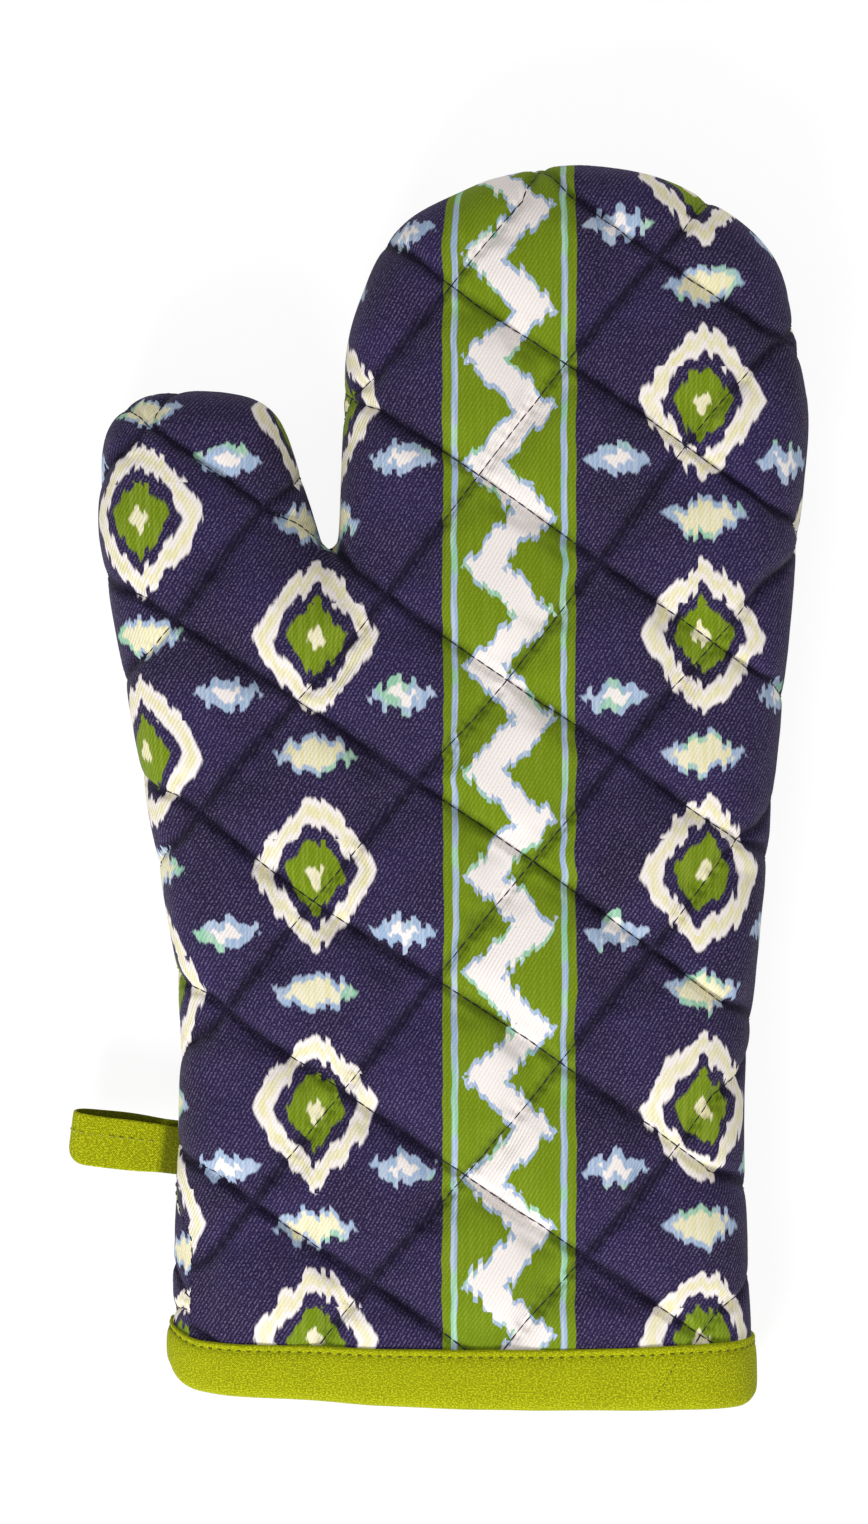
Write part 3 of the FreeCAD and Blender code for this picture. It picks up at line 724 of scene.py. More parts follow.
def make_panel(side, lining):
    """One padded panel, cover over batting, quilted in diamonds; and its lines for stitches."""
    edge = front_edge(OUTLINE) if side == "front" else 0.0
    divisions = PANEL_DIVISIONS
    plan, faces = flat_mesh(divisions, EDGE_RINGS, edge)
    if side == "back":
        faces = [face[::-1] for face in faces]
    places, cloth = raised(side, plan)
    inset, feet, _ = from_outline(plan)
    if side == "front":
        inset = inset - front_edge(feet)
    piece = make_piece(side + "_panel", places, faces, cloth=cloth, quilt=cell_place(plan),
                       flat=np.column_stack([plan, inset]))
    join_quads(piece)
    sewn = (line_distance(plan) < ON_LINE) | (inset < 0.2 * MM) | (plan[:, 1] < MOUTH_Y + 0.1 * MM)
    shift = swollen(piece, np.flatnonzero(sewn)) - places
    shift *= past_mouth(plan, 12, 26)[:, None]
    shift[:, :2] *= smooth_step(0, 12 * MM, inset)[:, None]
    set_coordinates(piece.data, places + shift)
    subdivided(piece)
    mesh = piece.data
    flat = rows_of(mesh.attributes["flat"].data, "vector")
    fine = coordinates(mesh)
    fine += vertex_normals(mesh) * quilt_relief(flat)[:, None] * MM
    fine[:, 2] -= FORMS[side]["sign"] * fork_tuck(fine)
    fine[:, 2] = np.maximum(fine[:, 2], 0)
    set_coordinates(mesh, fine)
    add_batting(piece, side, lining, flat)
    normals = vertex_normals(mesh)
    return piece, [(fine[chain], normals[chain]) for chain in line_chains(plan, 5 * MM) if len(chain) > 4]


# ---------------------------------------------------------------- stitches

def sew(name, node, slot, lines, length, gap, radius, dive=1.9, body="mitt"):
    """Separate stitches along lines of places and normals; their ends dive into the cloth."""
    points, faces = [], []
    stations = np.linspace(-0.5, 0.5, 5)
    rise = radius * (0.75 - dive * (2 * np.abs(stations)) ** 2.5)
    thick = radius * (1 - 0.35 * (2 * np.abs(stations)) ** 2)
    for places, normals in lines:
        along = lengths_along(places)
        for middle in np.arange(gap + length / 2, along[-1] - length / 2, length + gap):
            spots = middle + stations * length * (1 + rng.normal(0, 0.04))
            centre = sampled(places, spots)
            normal = unit(np.stack([np.interp(spots, along, normals[:, k]) for k in range(3)], axis=1))
            aside = unit(np.cross(unit(centre[-1:] - centre[:1]), normal))
            centre = centre + normal * rise[:, None] + aside * rng.normal(0, 0.12) * radius
            add_tube(points, faces, centre, aside, normal, thick, 6)
    place_piece(make_piece(name, points, faces), slot, node, body=body)


linings = {side: make_lining(side) for side in FORMS}
panels = {side: make_panel(side, linings[side]) for side in FORMS}
for side, (panel, _) in panels.items():
    place_piece(panel, "printed_twill", side + "_cover", side + "_batting")
for side, (_, lines) in panels.items():
    sew(side + "_quilting_stitches", side + "_quilting_thread", "navy_thread", lines,
        length=2.9 * MM, gap=0.15 * MM, radius=0.2 * MM, dive=1.1)


def seam_run():
    """The side seam's line where the front panel ends, and its outward normals."""
    line = OUTLINE + INWARD * (front_edge(OUTLINE) + 0.02 * MM)[:, None]
    line = line[OUTLINE[:, 1] > MOUTH_Y + 8 * MM]
    path = raised("front", line)[0]
    heart = line + from_outline(line)[2] * 9 * MM
    return path, unit(np.column_stack([path[:, :2] - heart, path[:, 2] - SEAM_Z]))


sew("side_seam_stitches", "side_seam_thread", "navy_thread", [seam_run()],
    length=1.8 * MM, gap=1.2 * MM, radius=0.18 * MM)


# ---------------------------------------------------------------- sewn margin

# Reach inward from the raw edge, in millimetres, and height as a share of half the thickness.
MARGIN_SECTION = [(-2.8, 1.0), (-1.0, 1.04), (0.1, 0.8), (0.35, 0.0), (0.1, -0.8), (-1.0, -1.04),
                  (-2.8, -1.0)]
OVERLOCK_HALF = 2.9 * MM
OVERLOCK_THREAD = 0.32 * MM


def make_overlock():
    """Raw edge of the sewn margin inside the mitt, and the overlock thread wrapped round it."""
    edge = ring(MARGIN)
    edge = edge[edge[:, 1] > MOUTH_Y + 19 * MM]
    edge = sampled(edge, np.arange(0, lengths_along(edge)[-1], 1.1 * MM))
    inward = from_outline(edge)[2]
    rows = []
    for reach, height in MARGIN_SECTION:
        level = np.full(len(edge), SEAM_Z + height * OVERLOCK_HALF)
        rows.append(np.column_stack([edge + inward * reach * MM, level]))
    rows = np.array(rows)
    faces = grid_faces(len(rows), len(edge))
    points = list(rows.reshape(-1, 3))
    lean = np.linspace(0, 1, len(rows))[:, None]
    for k in range(1, len(edge) - 2, 2):
        path = rows[:, k] * (1 - lean) + rows[:, k + 1] * lean
        out = unit(path - path.mean(axis=0))
        onward = unit(rows[3, k + 1] - rows[3, k])
        add_tube(points, faces, path + out * 0.15 * MM, out, [onward] * len(path),
                 [OVERLOCK_THREAD] * len(path), 5)
    return make_piece("margin_overlock", points, faces)


overlock = make_overlock()
place_piece(overlock, "pale_thread", "seam_allowance_overlock")


# ---------------------------------------------------------------- binding of the mouth

# Distance from the mouth and height above the cover, from the outer edge round the fold and in.
BINDING_SECTION = [
    (15.3, 0.10), (15.3, 0.75), (14.95, 1.15), (14.4, 1.22), (13.8, 1.05), (13.3, 0.72), (12.8, 1.05),
    (12.0, 1.38), (10.0, 1.60), (7.0, 1.62), (4.0, 1.50), (1.6, 1.28), (0.2, 0.80), (-0.75, -0.1),
    (-1.2, -1.4), (-1.3, -2.8), (-1.2, -4.2), (-0.75, -5.5), (0.3, -6.3), (2.0, -6.6), (7.0, -6.8),
    (12.0, -6.6), (13.3, -6.2), (14.2, -6.6), (15.0, -6.5), (15.2, -5.9)]
STITCH_ROW = 5                 # row of the section that the topstitch follows
STITCH_RISE = BINDING_SECTION[STITCH_ROW][0]
EDGE_RISE = 15.1               # the tape's puckered edge beside it
TOPSTITCH_PITCH = 2.7 * MM
FIRST_TOPSTITCH = 1.85 * MM    # middle of the first stitch
JOIN_LINE = np.array([[56.3 * MM, MOUTH_Y + 12.6 * MM], [49.8 * MM, MOUTH_Y + 1.6 * MM]])
AROUND = 420
TURN = np.linspace(0, 2 * np.pi, AROUND, endpoint=False)
ROUND_CUFF = np.column_stack([np.cos(TURN), np.sin(TURN)]) * 60 * MM


def cuff_loop(rise):
    """Closed line round the stuffed cuff at a distance from the mouth, and its outward normals."""
    y = MOUTH_Y + rise
    near = np.linspace(0, 1, 30) ** 1.6 * EDGE_ZONE
    left, right = cuff_sides(y)
    rest = np.concatenate([np.linspace(left + EDGE_ZONE, right - EDGE_ZONE, 90)[1:-1], (right - near)[::-1]])
    halves = []
    for side, edge in (("front", front_edge(np.array([[left, y]]))[0]), ("back", 0.0)):
        xs = np.concatenate([left + edge + near * (1 - edge / EDGE_ZONE), rest])
        halves.append(raised(side, np.column_stack([xs, np.full(len(xs), y)]))[0][:, [0, 2]])
    front, back = halves
    line = np.concatenate([front, back[::-1], front[:1]])
    line = sampled(line, np.linspace(0, lengths_along(line)[-1], AROUND + 1)[:-1])
    line = np.roll(line, AROUND // 4, axis=0)
    for _ in range(24):
        line = (line + (np.roll(line, 1, axis=0) + np.roll(line, -1, axis=0)) / 2) / 2
    onward = unit(np.roll(line, -1, axis=0) - np.roll(line, 1, axis=0))
    return line, np.stack([-onward[:, 1], onward[:, 0]], axis=1)


def join_ridge(place):
    """Height of the ridge and its dented line where the tape's ends overlap on the front."""
    along = unit(JOIN_LINE[1] - JOIN_LINE[0])
    beside = (place[:, :2] - JOIN_LINE[0]) @ np.array([-along[1], along[0]])
    ridge = 0.42 * np.exp(-((beside - 1.9 * MM) / (1.6 * MM)) ** 2)
    ridge -= 0.5 * np.exp(-(beside / (0.5 * MM)) ** 2)
    return ridge * (place[:, 2] > SEAM_Z + 5 * MM) * MM


def binding_row(rise, height):
    """One row of the tape round the cuff, lumpy and puckered by its stitching, and its normals."""
    line, out = cuff_loop(max(rise, 0) * MM)
    outside = height > -1
    lump = waves(ROUND_CUFF + rise * 0.4 * MM, 17 * MM, 41, 9) * (0.13 if outside else 0.1) * MM
    pull = math.exp(-((rise - STITCH_RISE) / 0.8) ** 2)
    pull -= 0.8 * math.exp(-((rise - EDGE_RISE) / 0.8) ** 2)
    stitch = 2 * np.pi * (lengths_along(line) - FIRST_TOPSTITCH) / TOPSTITCH_PITCH
    pucker = -0.13 * MM * pull * np.cos(stitch) * outside
    line = line + out * (height * MM + lump + pucker)[:, None]
    y = np.full(AROUND, MOUTH_Y + rise * MM) + waves(ROUND_CUFF, 34 * MM, 42, 7) * 0.22 * MM
    place = np.column_stack([line[:, 0], y, line[:, 1]])
    normal = np.column_stack([out[:, 0], np.zeros(AROUND), out[:, 1]])
    if outside:
        place += normal * join_ridge(place)[:, None]
    return cuffed(place), normal


def make_binding():
    """Tape folded round the mouth, and its stitching line of places and normals."""
    made = [binding_row(rise, height) for rise, height in BINDING_SECTION]
    grid = np.array([place for place, _ in made])
    uv = np.stack(np.meshgrid(TURN / (2 * np.pi) * 0.4, lengths_along(grid[:, 0])), axis=-1)
    piece = make_piece("cuff_tape", grid.reshape(-1, 3), grid_faces(len(grid), AROUND, closed=True),
                       cloth=uv.reshape(-1, 2))
    subdivided(piece)
    edited(piece, bmesh.ops.recalc_face_normals)
    return piece, [np.concatenate([row, row[:1]]) for row in (grid[STITCH_ROW], made[0][1])]


def on_surface(piece, plan):
    """Places and normals where upright lines through plan points meet a piece from above."""
    tree = BVHTree.FromObject(piece, bpy.context.evaluated_depsgraph_get())
    hits = [tree.ray_cast(Vector((x, y, 0.2)), Vector((0, 0, -1)))[:2] for x, y in plan]
    return [np.array([tuple(hit[part]) for hit in hits if hit[0] is not None]) for part in (0, 1)]


tape, stitch_line = make_binding()
place_piece(tape, "green_tape", "cuff_binding")
sew("cuff_topstitch", "binding_topstitch", "green_thread", [stitch_line],
    length=1.7 * MM, gap=1.0 * MM, radius=0.27 * MM)
join_plan = sampled(JOIN_LINE, np.linspace(0, lengths_along(JOIN_LINE)[-1], 30))
sew("cuff_join_stitches", "binding_join_stitch", "green_thread", [on_surface(tape, join_plan)],
    length=1.1 * MM, gap=0.9 * MM, radius=0.16 * MM)


# ---------------------------------------------------------------- hanging loop

LOOP_OUT = Vector((-LOOP_AXIS.y, LOOP_AXIS.x, 0)).normalized()
LOOP_WIDTH = 13.6 * MM
LOOP_REACH = 25.5 * MM
LOOP_FOLD = 3.6 * MM           # radius of the turn at the fold
LOOP_TAIL = 10 * MM
LOOP_CORNER = 5.0 * MM         # radius of the worn corner at the fold, on the cuff's side
LOOP_STITCH = 1.8 * MM         # the edge stitches' distance from the middle of the tape
TAPE = 1.1 * MM


def loop_path():
    """Rows of the folded tape's way: outward and up from the hinge line, and its slip sideways."""
    turn = np.linspace(np.pi / 2, -np.pi / 2, 18)
    outward = np.linspace(-LOOP_TAIL, LOOP_REACH - LOOP_FOLD - 1.2 * MM, 26)
    grown = np.clip(outward / (LOOP_REACH - LOOP_FOLD), 0, 1) ** 0.9
    up = 0.62 * MM + (LOOP_FOLD - 0.2 * MM) * grown
    end_out = LOOP_REACH - LOOP_FOLD - 0.55 * MM + LOOP_FOLD * np.cos(turn) ** 0.85
    end_up = (LOOP_FOLD + 0.42 * MM) * np.sin(turn)
    path = np.concatenate([np.column_stack([outward, up]), np.column_stack([end_out, end_up]),
                           np.column_stack([outward, -up])[::-1]])
    along = lengths_along(path)
    slip = smooth_step(0.3, 0.75, along / along[-1]) * 1.5 * MM
    return sampled(np.column_stack([path, slip]), np.linspace(0, along[-1], 120))


def tape_section():
    """Closed section of the tape, across and through it, a little thicker at its edges."""
    section = []
    for angle in np.linspace(0, 2 * np.pi, 28, endpoint=False):
        c, s = math.cos(angle), math.sin(angle)
        wide = math.copysign(abs(c) ** 0.35, c) * LOOP_WIDTH / 2
        thick = math.copysign(abs(s) ** 0.55, s) * TAPE / 2
        section.append((wide, thick * (1 + 0.25 * abs(wide / (LOOP_WIDTH / 2)) ** 6)))
    return section


def loop_place(out, side, up):
    """Place from distances out of the seam, along the hinge and up."""
    return LOOP_HINGE + LOOP_OUT * out + LOOP_AXIS * side + Vector((0, 0, up))


def loop_line(path, outer):
    """Places and normals of the edge stitches, where the tape is clear of the seam."""
    places, normals = [], []
    for (out, up, slip), (away, above) in zip(path, outer):
        if out > 2 * MM:
            places.append(loop_place(out + away * TAPE / 2, LOOP_STITCH + slip, up + above * TAPE / 2))
            normals.append(LOOP_OUT * away + Vector((0, 0, above)))
    return np.array(places), np.array(normals)


def make_loop():
    """Folded tape that leaves the side seam and goes back into it, and its stitching line."""
    path, section = loop_path(), tape_section()
    onward = unit(np.gradient(path[:, :2], axis=0))
    outer = np.stack([-onward[:, 1], onward[:, 0]], axis=1)
    points, uv, shade = [], [], []
    for (out, up, slip), (away, above), distance in zip(path, outer, lengths_along(path[:, :2])):
        narrow = 1 - 0.05 * math.exp(-(max(out, 0) / (5 * MM)) ** 2)
        for wide, thick in section:
            reach = out + away * thick
            corner = np.clip((reach - LOOP_REACH) / LOOP_CORNER + 1, 0, 0.98)
            worn = 0.8 * LOOP_CORNER * (1 - math.sqrt(1 - corner ** 2))
            side = wide * narrow + slip + worn * max(-wide / (LOOP_WIDTH / 2), 0)
            points.append(loop_place(reach, side, up + above * thick))
            uv.append((distance, side))
            # the shade map holds painted shade: on the tape's inner faces inside the fold, and at its root
            # by the seam
            inner = smooth_step(-2 * MM, 3 * MM, out) if thick < 0 else 0.0
            shade.append((inner, smooth_step(1.8 * MM, -0.8 * MM, out)))
    points = np.array(points)
    points[:, 2] += waves(points, 12 * MM, 51) * 0.12 * MM
    piece = make_piece("hanging_loop_tape", points, grid_faces(len(path), len(section), closed=True),
                       cloth=uv, shade=shade)
    subdivided(piece)
    edited(piece, bmesh.ops.recalc_face_normals)
    return piece, loop_line(path, outer)


loop, loop_run = make_loop()
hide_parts("hanging_loop", "loop_tail")
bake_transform(loop)
sew("hanging_loop_stitches", "loop_edge_stitch", "green_thread", [loop_run],
    length=1.9 * MM, gap=0.8 * MM, radius=0.2 * MM, body="loop")


# ---------------------------------------------------------------- material nodes

def colour(red, green, blue):
    """A colour seen on screen, 0 to 255, as the linear colour that a shader takes."""
    def linear(value):
        value /= 255
        return value / 12.92 if value <= 0.04045 else ((value + 0.055) / 1.055) ** 2.4
    return (linear(red), linear(green), linear(blue), 1)


def worked(operation):
    """An operator that adds one arithmetic node to a material."""
    return lambda first, *others: first.make.math(operation, first, *others)


class Value:
    """A number, colour or vector that a material's nodes give; numbers take ordinary arithmetic."""

    __add__ = worked("ADD")
    __sub__ = worked("SUBTRACT")
    __mul__ = worked("MULTIPLY")
    __truediv__ = worked("DIVIDE")
    __pow__ = worked("POWER")
    __abs__ = worked("ABSOLUTE")
    __round__ = worked("ROUND")
    __floor__ = worked("FLOOR")
    __lt__ = worked("LESS_THAN")

    def __init__(self, make, socket):
        self.make = make
        self.socket = socket


class Maker:
    """Builds one material's nodes with short calls; every call gives back a value."""

    def __init__(self, name, roughness, sheen=0.0, sheen_roughness=0.5):
        self.material = bpy.data.materials.new(name)
        self.material.use_nodes = True
        self.tree = self.material.node_tree
        self.shader = self.tree.nodes["Principled BSDF"]
        self.shader.inputs["Roughness"].default_value = roughness
        self.shader.inputs["Sheen Weight"].default_value = sheen
        self.shader.inputs["Sheen Roughness"].default_value = sheen_roughness
        self.shader.inputs["Specular IOR Level"].default_value = 0.15

    def put(self, socket, value):
        """A value from a node or a constant goes into a socket."""
        if isinstance(value, Value):
            self.tree.links.new(value.socket, socket)
        else:
            socket.default_value = value

    def node(self, kind, inputs, output=0, **settings):
        """New node with its settings and inputs; gives back one output."""
        node = self.tree.nodes.new("ShaderNode" + kind)
        for title, setting in settings.items():
            setattr(node, title, setting)
        for key, value in inputs.items():
            self.put(node.inputs[key], value)
        return Value(self, node.outputs[output])

    def math(self, operation, *values):
        """Arithmetic on numbers."""
        return self.node("Math", dict(enumerate(values)), operation=operation)

    def sine(self, value, wavelength):
        """Wave along a value."""
        return self.math("SINE", value * (2 * math.pi / wavelength))

    def parts(self, vector):
        """The x and y of a vector."""
        node = self.tree.nodes.new("ShaderNodeSeparateXYZ")
        self.put(node.inputs[0], vector)
        return Value(self, node.outputs[0]), Value(self, node.outputs[1])

    def map(self, title):
        """The two values of a UV map."""
        return self.parts(self.node("UVMap", {}, uv_map=title))

    def cloth(self):
        """Place on the flat cloth, in millimetres."""
        x, y = self.map("cloth")
        return x * 1000, y * 1000

    def join(self, x, y):
        """A vector from its x and y."""
        return self.node("CombineXYZ", {0: x, 1: y})

    def noise(self, vector, scale=1.0, detail=1.0):
        """Smooth noise between 0 and 1."""
        return self.node("TexNoise", {"Vector": vector, "Scale": scale, "Detail": detail}, "Fac")

    def ramp(self, value, low, high, out_low=0.0, out_high=1.0):
        """Value brought from one range to another, without overshoot."""
        return self.node("MapRange", dict(enumerate((value, low, high, out_low, out_high))))

    def below(self, value, limit, soft=0.02):
        """1 where a value is below a limit."""
        return self.ramp(value, limit + soft, limit - soft)

    def mix(self, share, first, second, blend="MIX"):
        """Blend of two colours."""
        return self.node("Mix", {0: share, 6: first, 7: second}, 2, data_type="RGBA", blend_type=blend)

    def layered(self, tint, value, soft, layers):
        """A tint with layers of colour over it, each where a value is below the layer's limit."""
        for limit, layer in layers:
            tint = self.mix(self.below(value, limit, soft), tint, layer)
        return tint

    def finish(self, base, relief, depth, strength):
        """Colour and relief go into the shader."""
        bump = self.node("Bump", {"Distance": depth, "Strength": strength, "Height": relief})
        self.put(self.shader.inputs["Base Color"], base)
        self.put(self.shader.inputs["Normal"], bump)
        return self.material


def lozenge(x, y, half_width, half_height):
    """0 in the middle of a softened lozenge and 1 on its edge."""
    return (abs(x / half_width) ** 1.25 + abs(y / half_height) ** 1.25) ** 0.8


def repeated(value, period):
    """Distance from the nearest whole number of periods, with its sign."""
    return value - round(value / period) * period


# ---------------------------------------------------------------- printed twill

NAVY = colour(42, 30, 75)
NAVY_DEEP = colour(32, 22, 53)
# painted shade: colour that darkens the navy ground along the quilting creases
PAINTED_SHADE_NAVY = colour(20, 13, 34)
FLECK = colour(182, 170, 212)
BAND_GREEN = colour(112, 137, 10)
LEAF_GREEN = colour(128, 150, 40)
GREEN_FLECK = colour(190, 204, 70)
# painted shade: colour that darkens the green band along the quilting creases
PAINTED_SHADE_GREEN = colour(66, 84, 6)
WHITE = colour(248, 240, 235)
CREAM = colour(243, 236, 205)
STRAW = colour(232, 225, 158)
SKY = colour(160, 184, 214)
MINT = colour(150, 204, 172)
RIB_SHADE = (0.52, 0.49, 0.52, 1)

# Sizes of the print in millimetres.
BUNDLE = (1.25, 31.0)                  # width and length of a bundle of yarns that slipped as one
BAND_X, BAND_HALF = 12.0, 17.5         # middle and half width of the striped band
BAND_EDGE = 14.4                       # the band's middle to the line along its edge
ZIGZAG = 27.0                          # repeat of the zigzag
FIELD_X, FIELD_Y = 46.0, 62.0          # repeat of the medallions beside it
FIRST_COLUMN = 51.0                    # the band's middle to the first medallions
RIB = 0.95                             # pitch of the twill's ribs
QUILT_STITCH = 3.05                    # pitch of the quilting stitches


class Twill(Maker):
    """Navy twill with a traditional ikat: a zigzag band, and lozenge medallions beside it."""

    def __init__(self, name, shift):
        super().__init__(name, 0.88, 0.05, 0.45)
        x, y = self.cloth()
        self.spot = self.join(x, y)
        self.apart, self.along = self.quilting()
        self.crease = self.ramp(self.apart, 2.3, 0.0) ** 1.6
        self.rib = self.math("MULTIPLY_ADD", self.sine(x * 0.86 - y * 0.51, RIB), 0.5, 0.5)
        self.grain = self.noise(self.spot, 1.9)
        self.speck = self.ramp(self.grain, 0.42, 0.66) * self.ramp(self.rib, 0.2, 0.9)
        self.streak = self.ramp(self.noise(self.join(x * 1.5, y * 0.06), detail=0.0), 0.45, 0.62)
        threads = self.noise(self.join(x * 0.3, y * 0.03))
        bundle = self.join(math.floor(x / BUNDLE[0]), math.floor(y / BUNDLE[1]))
        bundle = self.node("TexWhiteNoise", {"Vector": bundle}, "Value", noise_dimensions="2D")
        slip = self.ramp(threads, 0.25, 0.75, -1.4, 1.4) + self.ramp(bundle, 0, 1, -1.3, 1.3)
        self.drift = self.ramp(self.noise(self.spot, 0.12), 0.2, 0.8, -0.8, 0.8)
        self.y = y + slip + shift
        self.band_x = x - BAND_X + self.drift * 0.35
        self.beside = abs(self.band_x)
        cool = self.mix(self.ramp(self.noise(self.spot, 0.09, 0.0), 0.56, 0.64), SKY, MINT)
        self.sky = self.mix(self.streak * 0.25, cool, WHITE)

    def quilting(self):
        """Distance to the nearest quilting line and place along it, in millimetres."""
        first, second = self.map("quilt")
        pitch = PITCH / MM
        to_first = abs(repeated(first, 1.0)) * pitch
        to_second = abs(repeated(second, 1.0)) * pitch
        change = (to_first < to_second) * (second - first)
        return self.math("MINIMUM", to_first, to_second), (first + change) * pitch

    def ground(self):
        """Navy yarns with pale flecks, darkened by painted shade along the quilting creases."""
        tint = self.mix(self.ramp(self.noise(self.spot, 0.035, 2.0), 0.3, 0.7), NAVY, NAVY_DEEP)
        tint = self.mix(self.speck * 0.27, tint, FLECK)
        # painted shade along the quilting creases, where the valleys would lie in shadow
        return self.mix(self.crease * 0.85, tint, PAINTED_SHADE_NAVY)

    def field(self):
        """Medallions in columns, with small lozenges between them and bars between the columns."""
        column = (self.beside - FIRST_COLUMN) / FIELD_X
        number = self.math("MAXIMUM", round(column), 0.0)
        across = (column - number) * FIELD_X + self.drift
        up = self.y + abs(self.math("MODULO", number, 2.0)) * (FIELD_Y / 2)
        medal = lozenge(across, repeated(up, FIELD_Y), 16.5, 20.0)
        small = lozenge(across, repeated(up + FIELD_Y / 2, FIELD_Y), 11.0, 5.4)
        bar = lozenge(abs(across) - FIELD_X / 2, repeated(self.y + FIELD_Y / 4, FIELD_Y), 9.0, 4.4)
        pale = self.mix(self.streak * 0.55, CREAM, STRAW)
        leaf = self.mix(self.streak, BAND_GREEN, LEAF_GREEN)
        leaf = self.mix(self.speck * 0.22, leaf, GREEN_FLECK)
        ground = self.ground()
        tint = self.layered(ground, bar, 0.06, ((1.0, self.sky), (0.45, WHITE)))
        tint = self.layered(tint, small, 0.06, ((1.0, self.sky), (0.72, pale)))
        return self.layered(tint, medal, 0.02, ((1.0, WHITE), (0.91, pale), (0.78, WHITE), (0.68, ground),
                                                (0.48, leaf), (0.15, pale)))

    def band(self):
        """Green band with a white zigzag edged in blue, and a blue line near each side."""
        zigzag = abs(repeated(self.y, ZIGZAG)) - ZIGZAG / 4
        tint = self.mix(self.streak * 0.35, BAND_GREEN, LEAF_GREEN)
        tint = self.mix(self.speck * 0.22, tint, GREEN_FLECK)
        # painted shade along the quilting creases, where the valleys would lie in shadow
        tint = self.mix(self.crease * 0.55, tint, PAINTED_SHADE_GREEN)
        tint = self.layered(tint, abs(self.band_x - zigzag), 0.15, ((6.1, self.sky), (4.6, WHITE)))
        return self.layered(tint, abs(self.beside - BAND_EDGE), 0.12, ((0.8, self.sky),))

    def made(self):
        """The finished material, with ribs, grain, creases and the stitches' small gathers."""
        tint = self.layered(self.field(), self.beside, 0.12, ((BAND_HALF, self.band()),))
        tint = self.mix((self.rib * -1 + 1) * 0.26, tint, RIB_SHADE, "MULTIPLY")
        near = self.ramp(self.apart, 0.0, 0.8) * self.ramp(self.apart, 3.0, 0.9)
        gathered = self.sine(self.along, QUILT_STITCH) * near * 0.9 - self.crease * 2.2
        return self.finish(tint, self.rib + self.grain * 0.8 + gathered, 0.00013, 0.9)


# ---------------------------------------------------------------- tape, lining and thread

TAPE_GREEN = colour(156, 164, 0)
TAPE_DARK = colour(140, 147, 0)
TAPE_DEEP = colour(118, 125, 0)
TAPE_SPECK = colour(206, 209, 26)
TAPE_SHADE = colour(48, 52, 0)
TAPE_YARN = 0.62                       # pitch of the tape's weave, in millimetres
LINING_YARN = 0.7


def green_tape(name, shaded=False):
    """Woven green tape with paler flecks; when shaded, it has painted shade inside its fold and at its root.
    """
    make = Maker(name, 0.88, 0.0, 0.4)
    x, y = make.cloth()
    fleck = make.noise(make.join(x * 1.1, y * 1.7), 1.5, 2.0)
    cloud = make.noise(make.join(x, y), 0.09, 2.0)
    weave = make.sine(x, TAPE_YARN) * make.sine(y, TAPE_YARN)
    tint = make.mix(make.ramp(cloud, 0.35, 0.65, 0.0, 0.45), TAPE_GREEN, TAPE_DARK)
    tint = make.mix(make.ramp(fleck, 0.50, 0.60) * 0.95, tint, TAPE_SPECK)
    tint = make.mix(make.ramp(fleck, 0.46, 0.36) * 0.5, tint, TAPE_DEEP)
    tint = make.mix(make.ramp(weave, -0.2, -1.0, 0.0, 0.25), tint, TAPE_DARK)
    if shaded:
        # painted shade inside the loop's fold and at its root beside the mitt
        inner, root = make.map("shade")
        tint = make.mix(make.math("MAXIMUM", inner * 0.8, root * 0.72), tint, TAPE_SHADE)
    return make.finish(tint, weave + fleck * 1.4, 0.0001, 0.8)


def plain_cloth(name, light, dark):
    """Plain woven cotton."""
    make = Maker(name, 0.88, 0.1, 0.4)
    x, y = make.cloth()
    weave = make.sine(x, LINING_YARN) * make.sine(y, LINING_YARN)
    slub = make.noise(make.join(x * 0.2, y * 2.2), 1.0, 2.0)
    return make.finish(make.mix(make.ramp(slub, 0.35, 0.7), light, dark), weave + slub, 0.0001, 0.8)


def thread(name, light, dark, twist):
    """Twisted sewing thread, by its place in the object."""
    make = Maker(name, 0.6, 0.2, 0.35)
    place = make.node("TexCoord", {}, "Object")
    place = make.node("VectorMath", {0: place, "Scale": 1000}, operation="SCALE")
    x, y = make.parts(place)
    strand = make.sine(x + y, twist)
    fuzz = make.noise(place, 3.0, 2.0)
    tint = make.mix(make.math("MULTIPLY_ADD", strand, 0.3, fuzz * 0.7), dark, light)
    return make.finish(tint, strand + fuzz, 0.00008, 0.7)


def dress(material, *names):
    """Gives pieces their one material."""
    for name in names:
        bpy.data.objects[name].data.materials.append(material)


dress(Twill("printed_twill_front", 9.0).made(), "front_panel")
dress(Twill("printed_twill_back", -14.0).made(), "back_panel")
dress(plain_cloth("lining_cotton", colour(232, 226, 210), colour(216, 208, 188)),
      "front_lining_sheet", "back_lining_sheet")
dress(green_tape("green_tape_cloth"), "cuff_tape")
dress(green_tape("green_loop_cloth", shaded=True), "hanging_loop_tape")
dress(thread("navy_thread_twist", colour(46, 38, 74), colour(26, 20, 44), 0.5),
      "front_quilting_stitches", "back_quilting_stitches", "side_seam_stitches")
dress(thread("green_thread_twist", colour(124, 128, 20), colour(88, 92, 10), 0.5),
      "cuff_topstitch", "cuff_join_stitches")
dress(thread("loop_thread_twist", colour(206, 208, 90), colour(158, 162, 40), 0.5),
      "hanging_loop_stitches")
dress(thread("pale_thread_twist", colour(236, 230, 214), colour(206, 198, 178), 0.7),
      "margin_overlock")


# ---------------------------------------------------------------- floor, light and camera

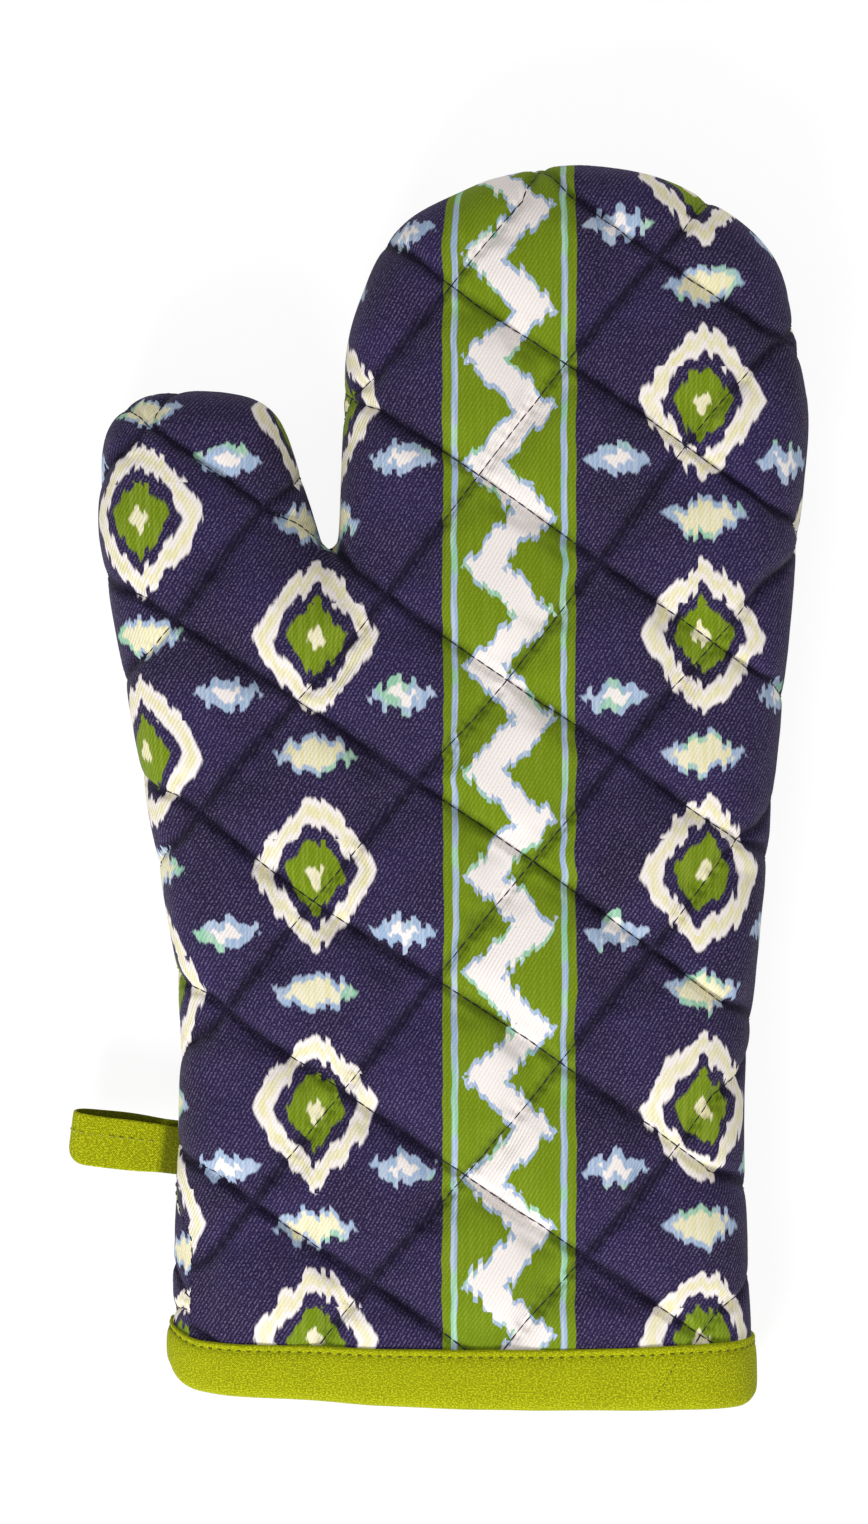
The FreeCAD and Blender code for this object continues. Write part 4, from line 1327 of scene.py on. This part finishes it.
def mixed_for_camera(tree, unseen, seen, share):
    """Lets the camera see a share of one shader, while another one lights and is lit."""
    ray = tree.nodes.new("ShaderNodeLightPath")
    scaled = tree.nodes.new("ShaderNodeMath")
    scaled.operation = "MULTIPLY"
    scaled.inputs[1].default_value = share
    blend = tree.nodes.new("ShaderNodeMixShader")
    output = next(node for node in tree.nodes if node.name.endswith("Output"))
    tree.links.new(ray.outputs["Is Camera Ray"], scaled.inputs[0])
    tree.links.new(scaled.outputs[0], blend.inputs[0])
    tree.links.new(unseen.outputs[0], blend.inputs[1])
    tree.links.new(seen.outputs[0], blend.inputs[2])
    tree.links.new(blend.outputs[0], output.inputs[0])


def make_floor():
    """Pale floor that looks near white and keeps the mitt's soft shadow."""
    half = 2.5
    corners = [(-half, -half, 0), (half, -half, 0), (half, half, 0), (-half, half, 0)]
    floor = make_piece("floor", corners, [(0, 1, 2, 3)])
    paper = bpy.data.materials.new("floor_paper")
    paper.use_nodes = True
    matt = paper.node_tree.nodes["Principled BSDF"]
    matt.inputs["Base Color"].default_value = (0.86, 0.86, 0.86, 1)
    matt.inputs["Roughness"].default_value = 0.9
    glow = paper.node_tree.nodes.new("ShaderNodeEmission")
    glow.inputs["Color"].default_value = (1, 1, 1, 1)
    glow.inputs["Strength"].default_value = 1.06
    mixed_for_camera(paper.node_tree, matt, glow, 0.85)
    dress(paper, "floor")


def make_world():
    """Soft white light from all round, with a pale backdrop for the camera."""
    world = bpy.data.worlds.new("studio")
    world.use_nodes = True
    light = world.node_tree.nodes["Background"]
    light.inputs["Color"].default_value = (1, 1, 1, 1)
    light.inputs["Strength"].default_value = 0.48
    backdrop = world.node_tree.nodes.new("ShaderNodeBackground")
    backdrop.inputs["Color"].default_value = (0.98, 0.98, 0.98, 1)
    mixed_for_camera(world.node_tree, light, backdrop, 1.0)
    bpy.context.scene.world = world


def make_light(name, place, size, power):
    """Large soft lamp aimed at the mitt."""
    lamp = bpy.data.lights.new(name, "AREA")
    lamp.size = size
    lamp.energy = power
    holder = new_object(name, lamp)
    holder.location = place
    aim = Vector((0, 0, 0.02)) - Vector(place)
    holder.rotation_euler = aim.to_track_quat("-Z", "Y").to_euler()


CAMERA_PLACE = (-0.0078, 0.0201)   # in plan
CAMERA_HEIGHT = 0.969          # above the seam


def make_camera():
    """Camera straight above the mitt, as in the photo."""
    lens = bpy.data.cameras.new("camera")
    lens.lens = 85
    lens.sensor_width = 36
    camera = new_object("camera", lens)
    camera.location = (*CAMERA_PLACE, SEAM_Z + CAMERA_HEIGHT)
    bpy.context.scene.camera = camera


make_floor()
make_world()
make_light("key", (-0.4, -1.0, 0.85), 0.4, 15)
make_light("fill", (0.6, 0.9, 1.0), 1.2, 4)
make_camera()
bpy.context.scene.view_settings.view_transform = "Standard"
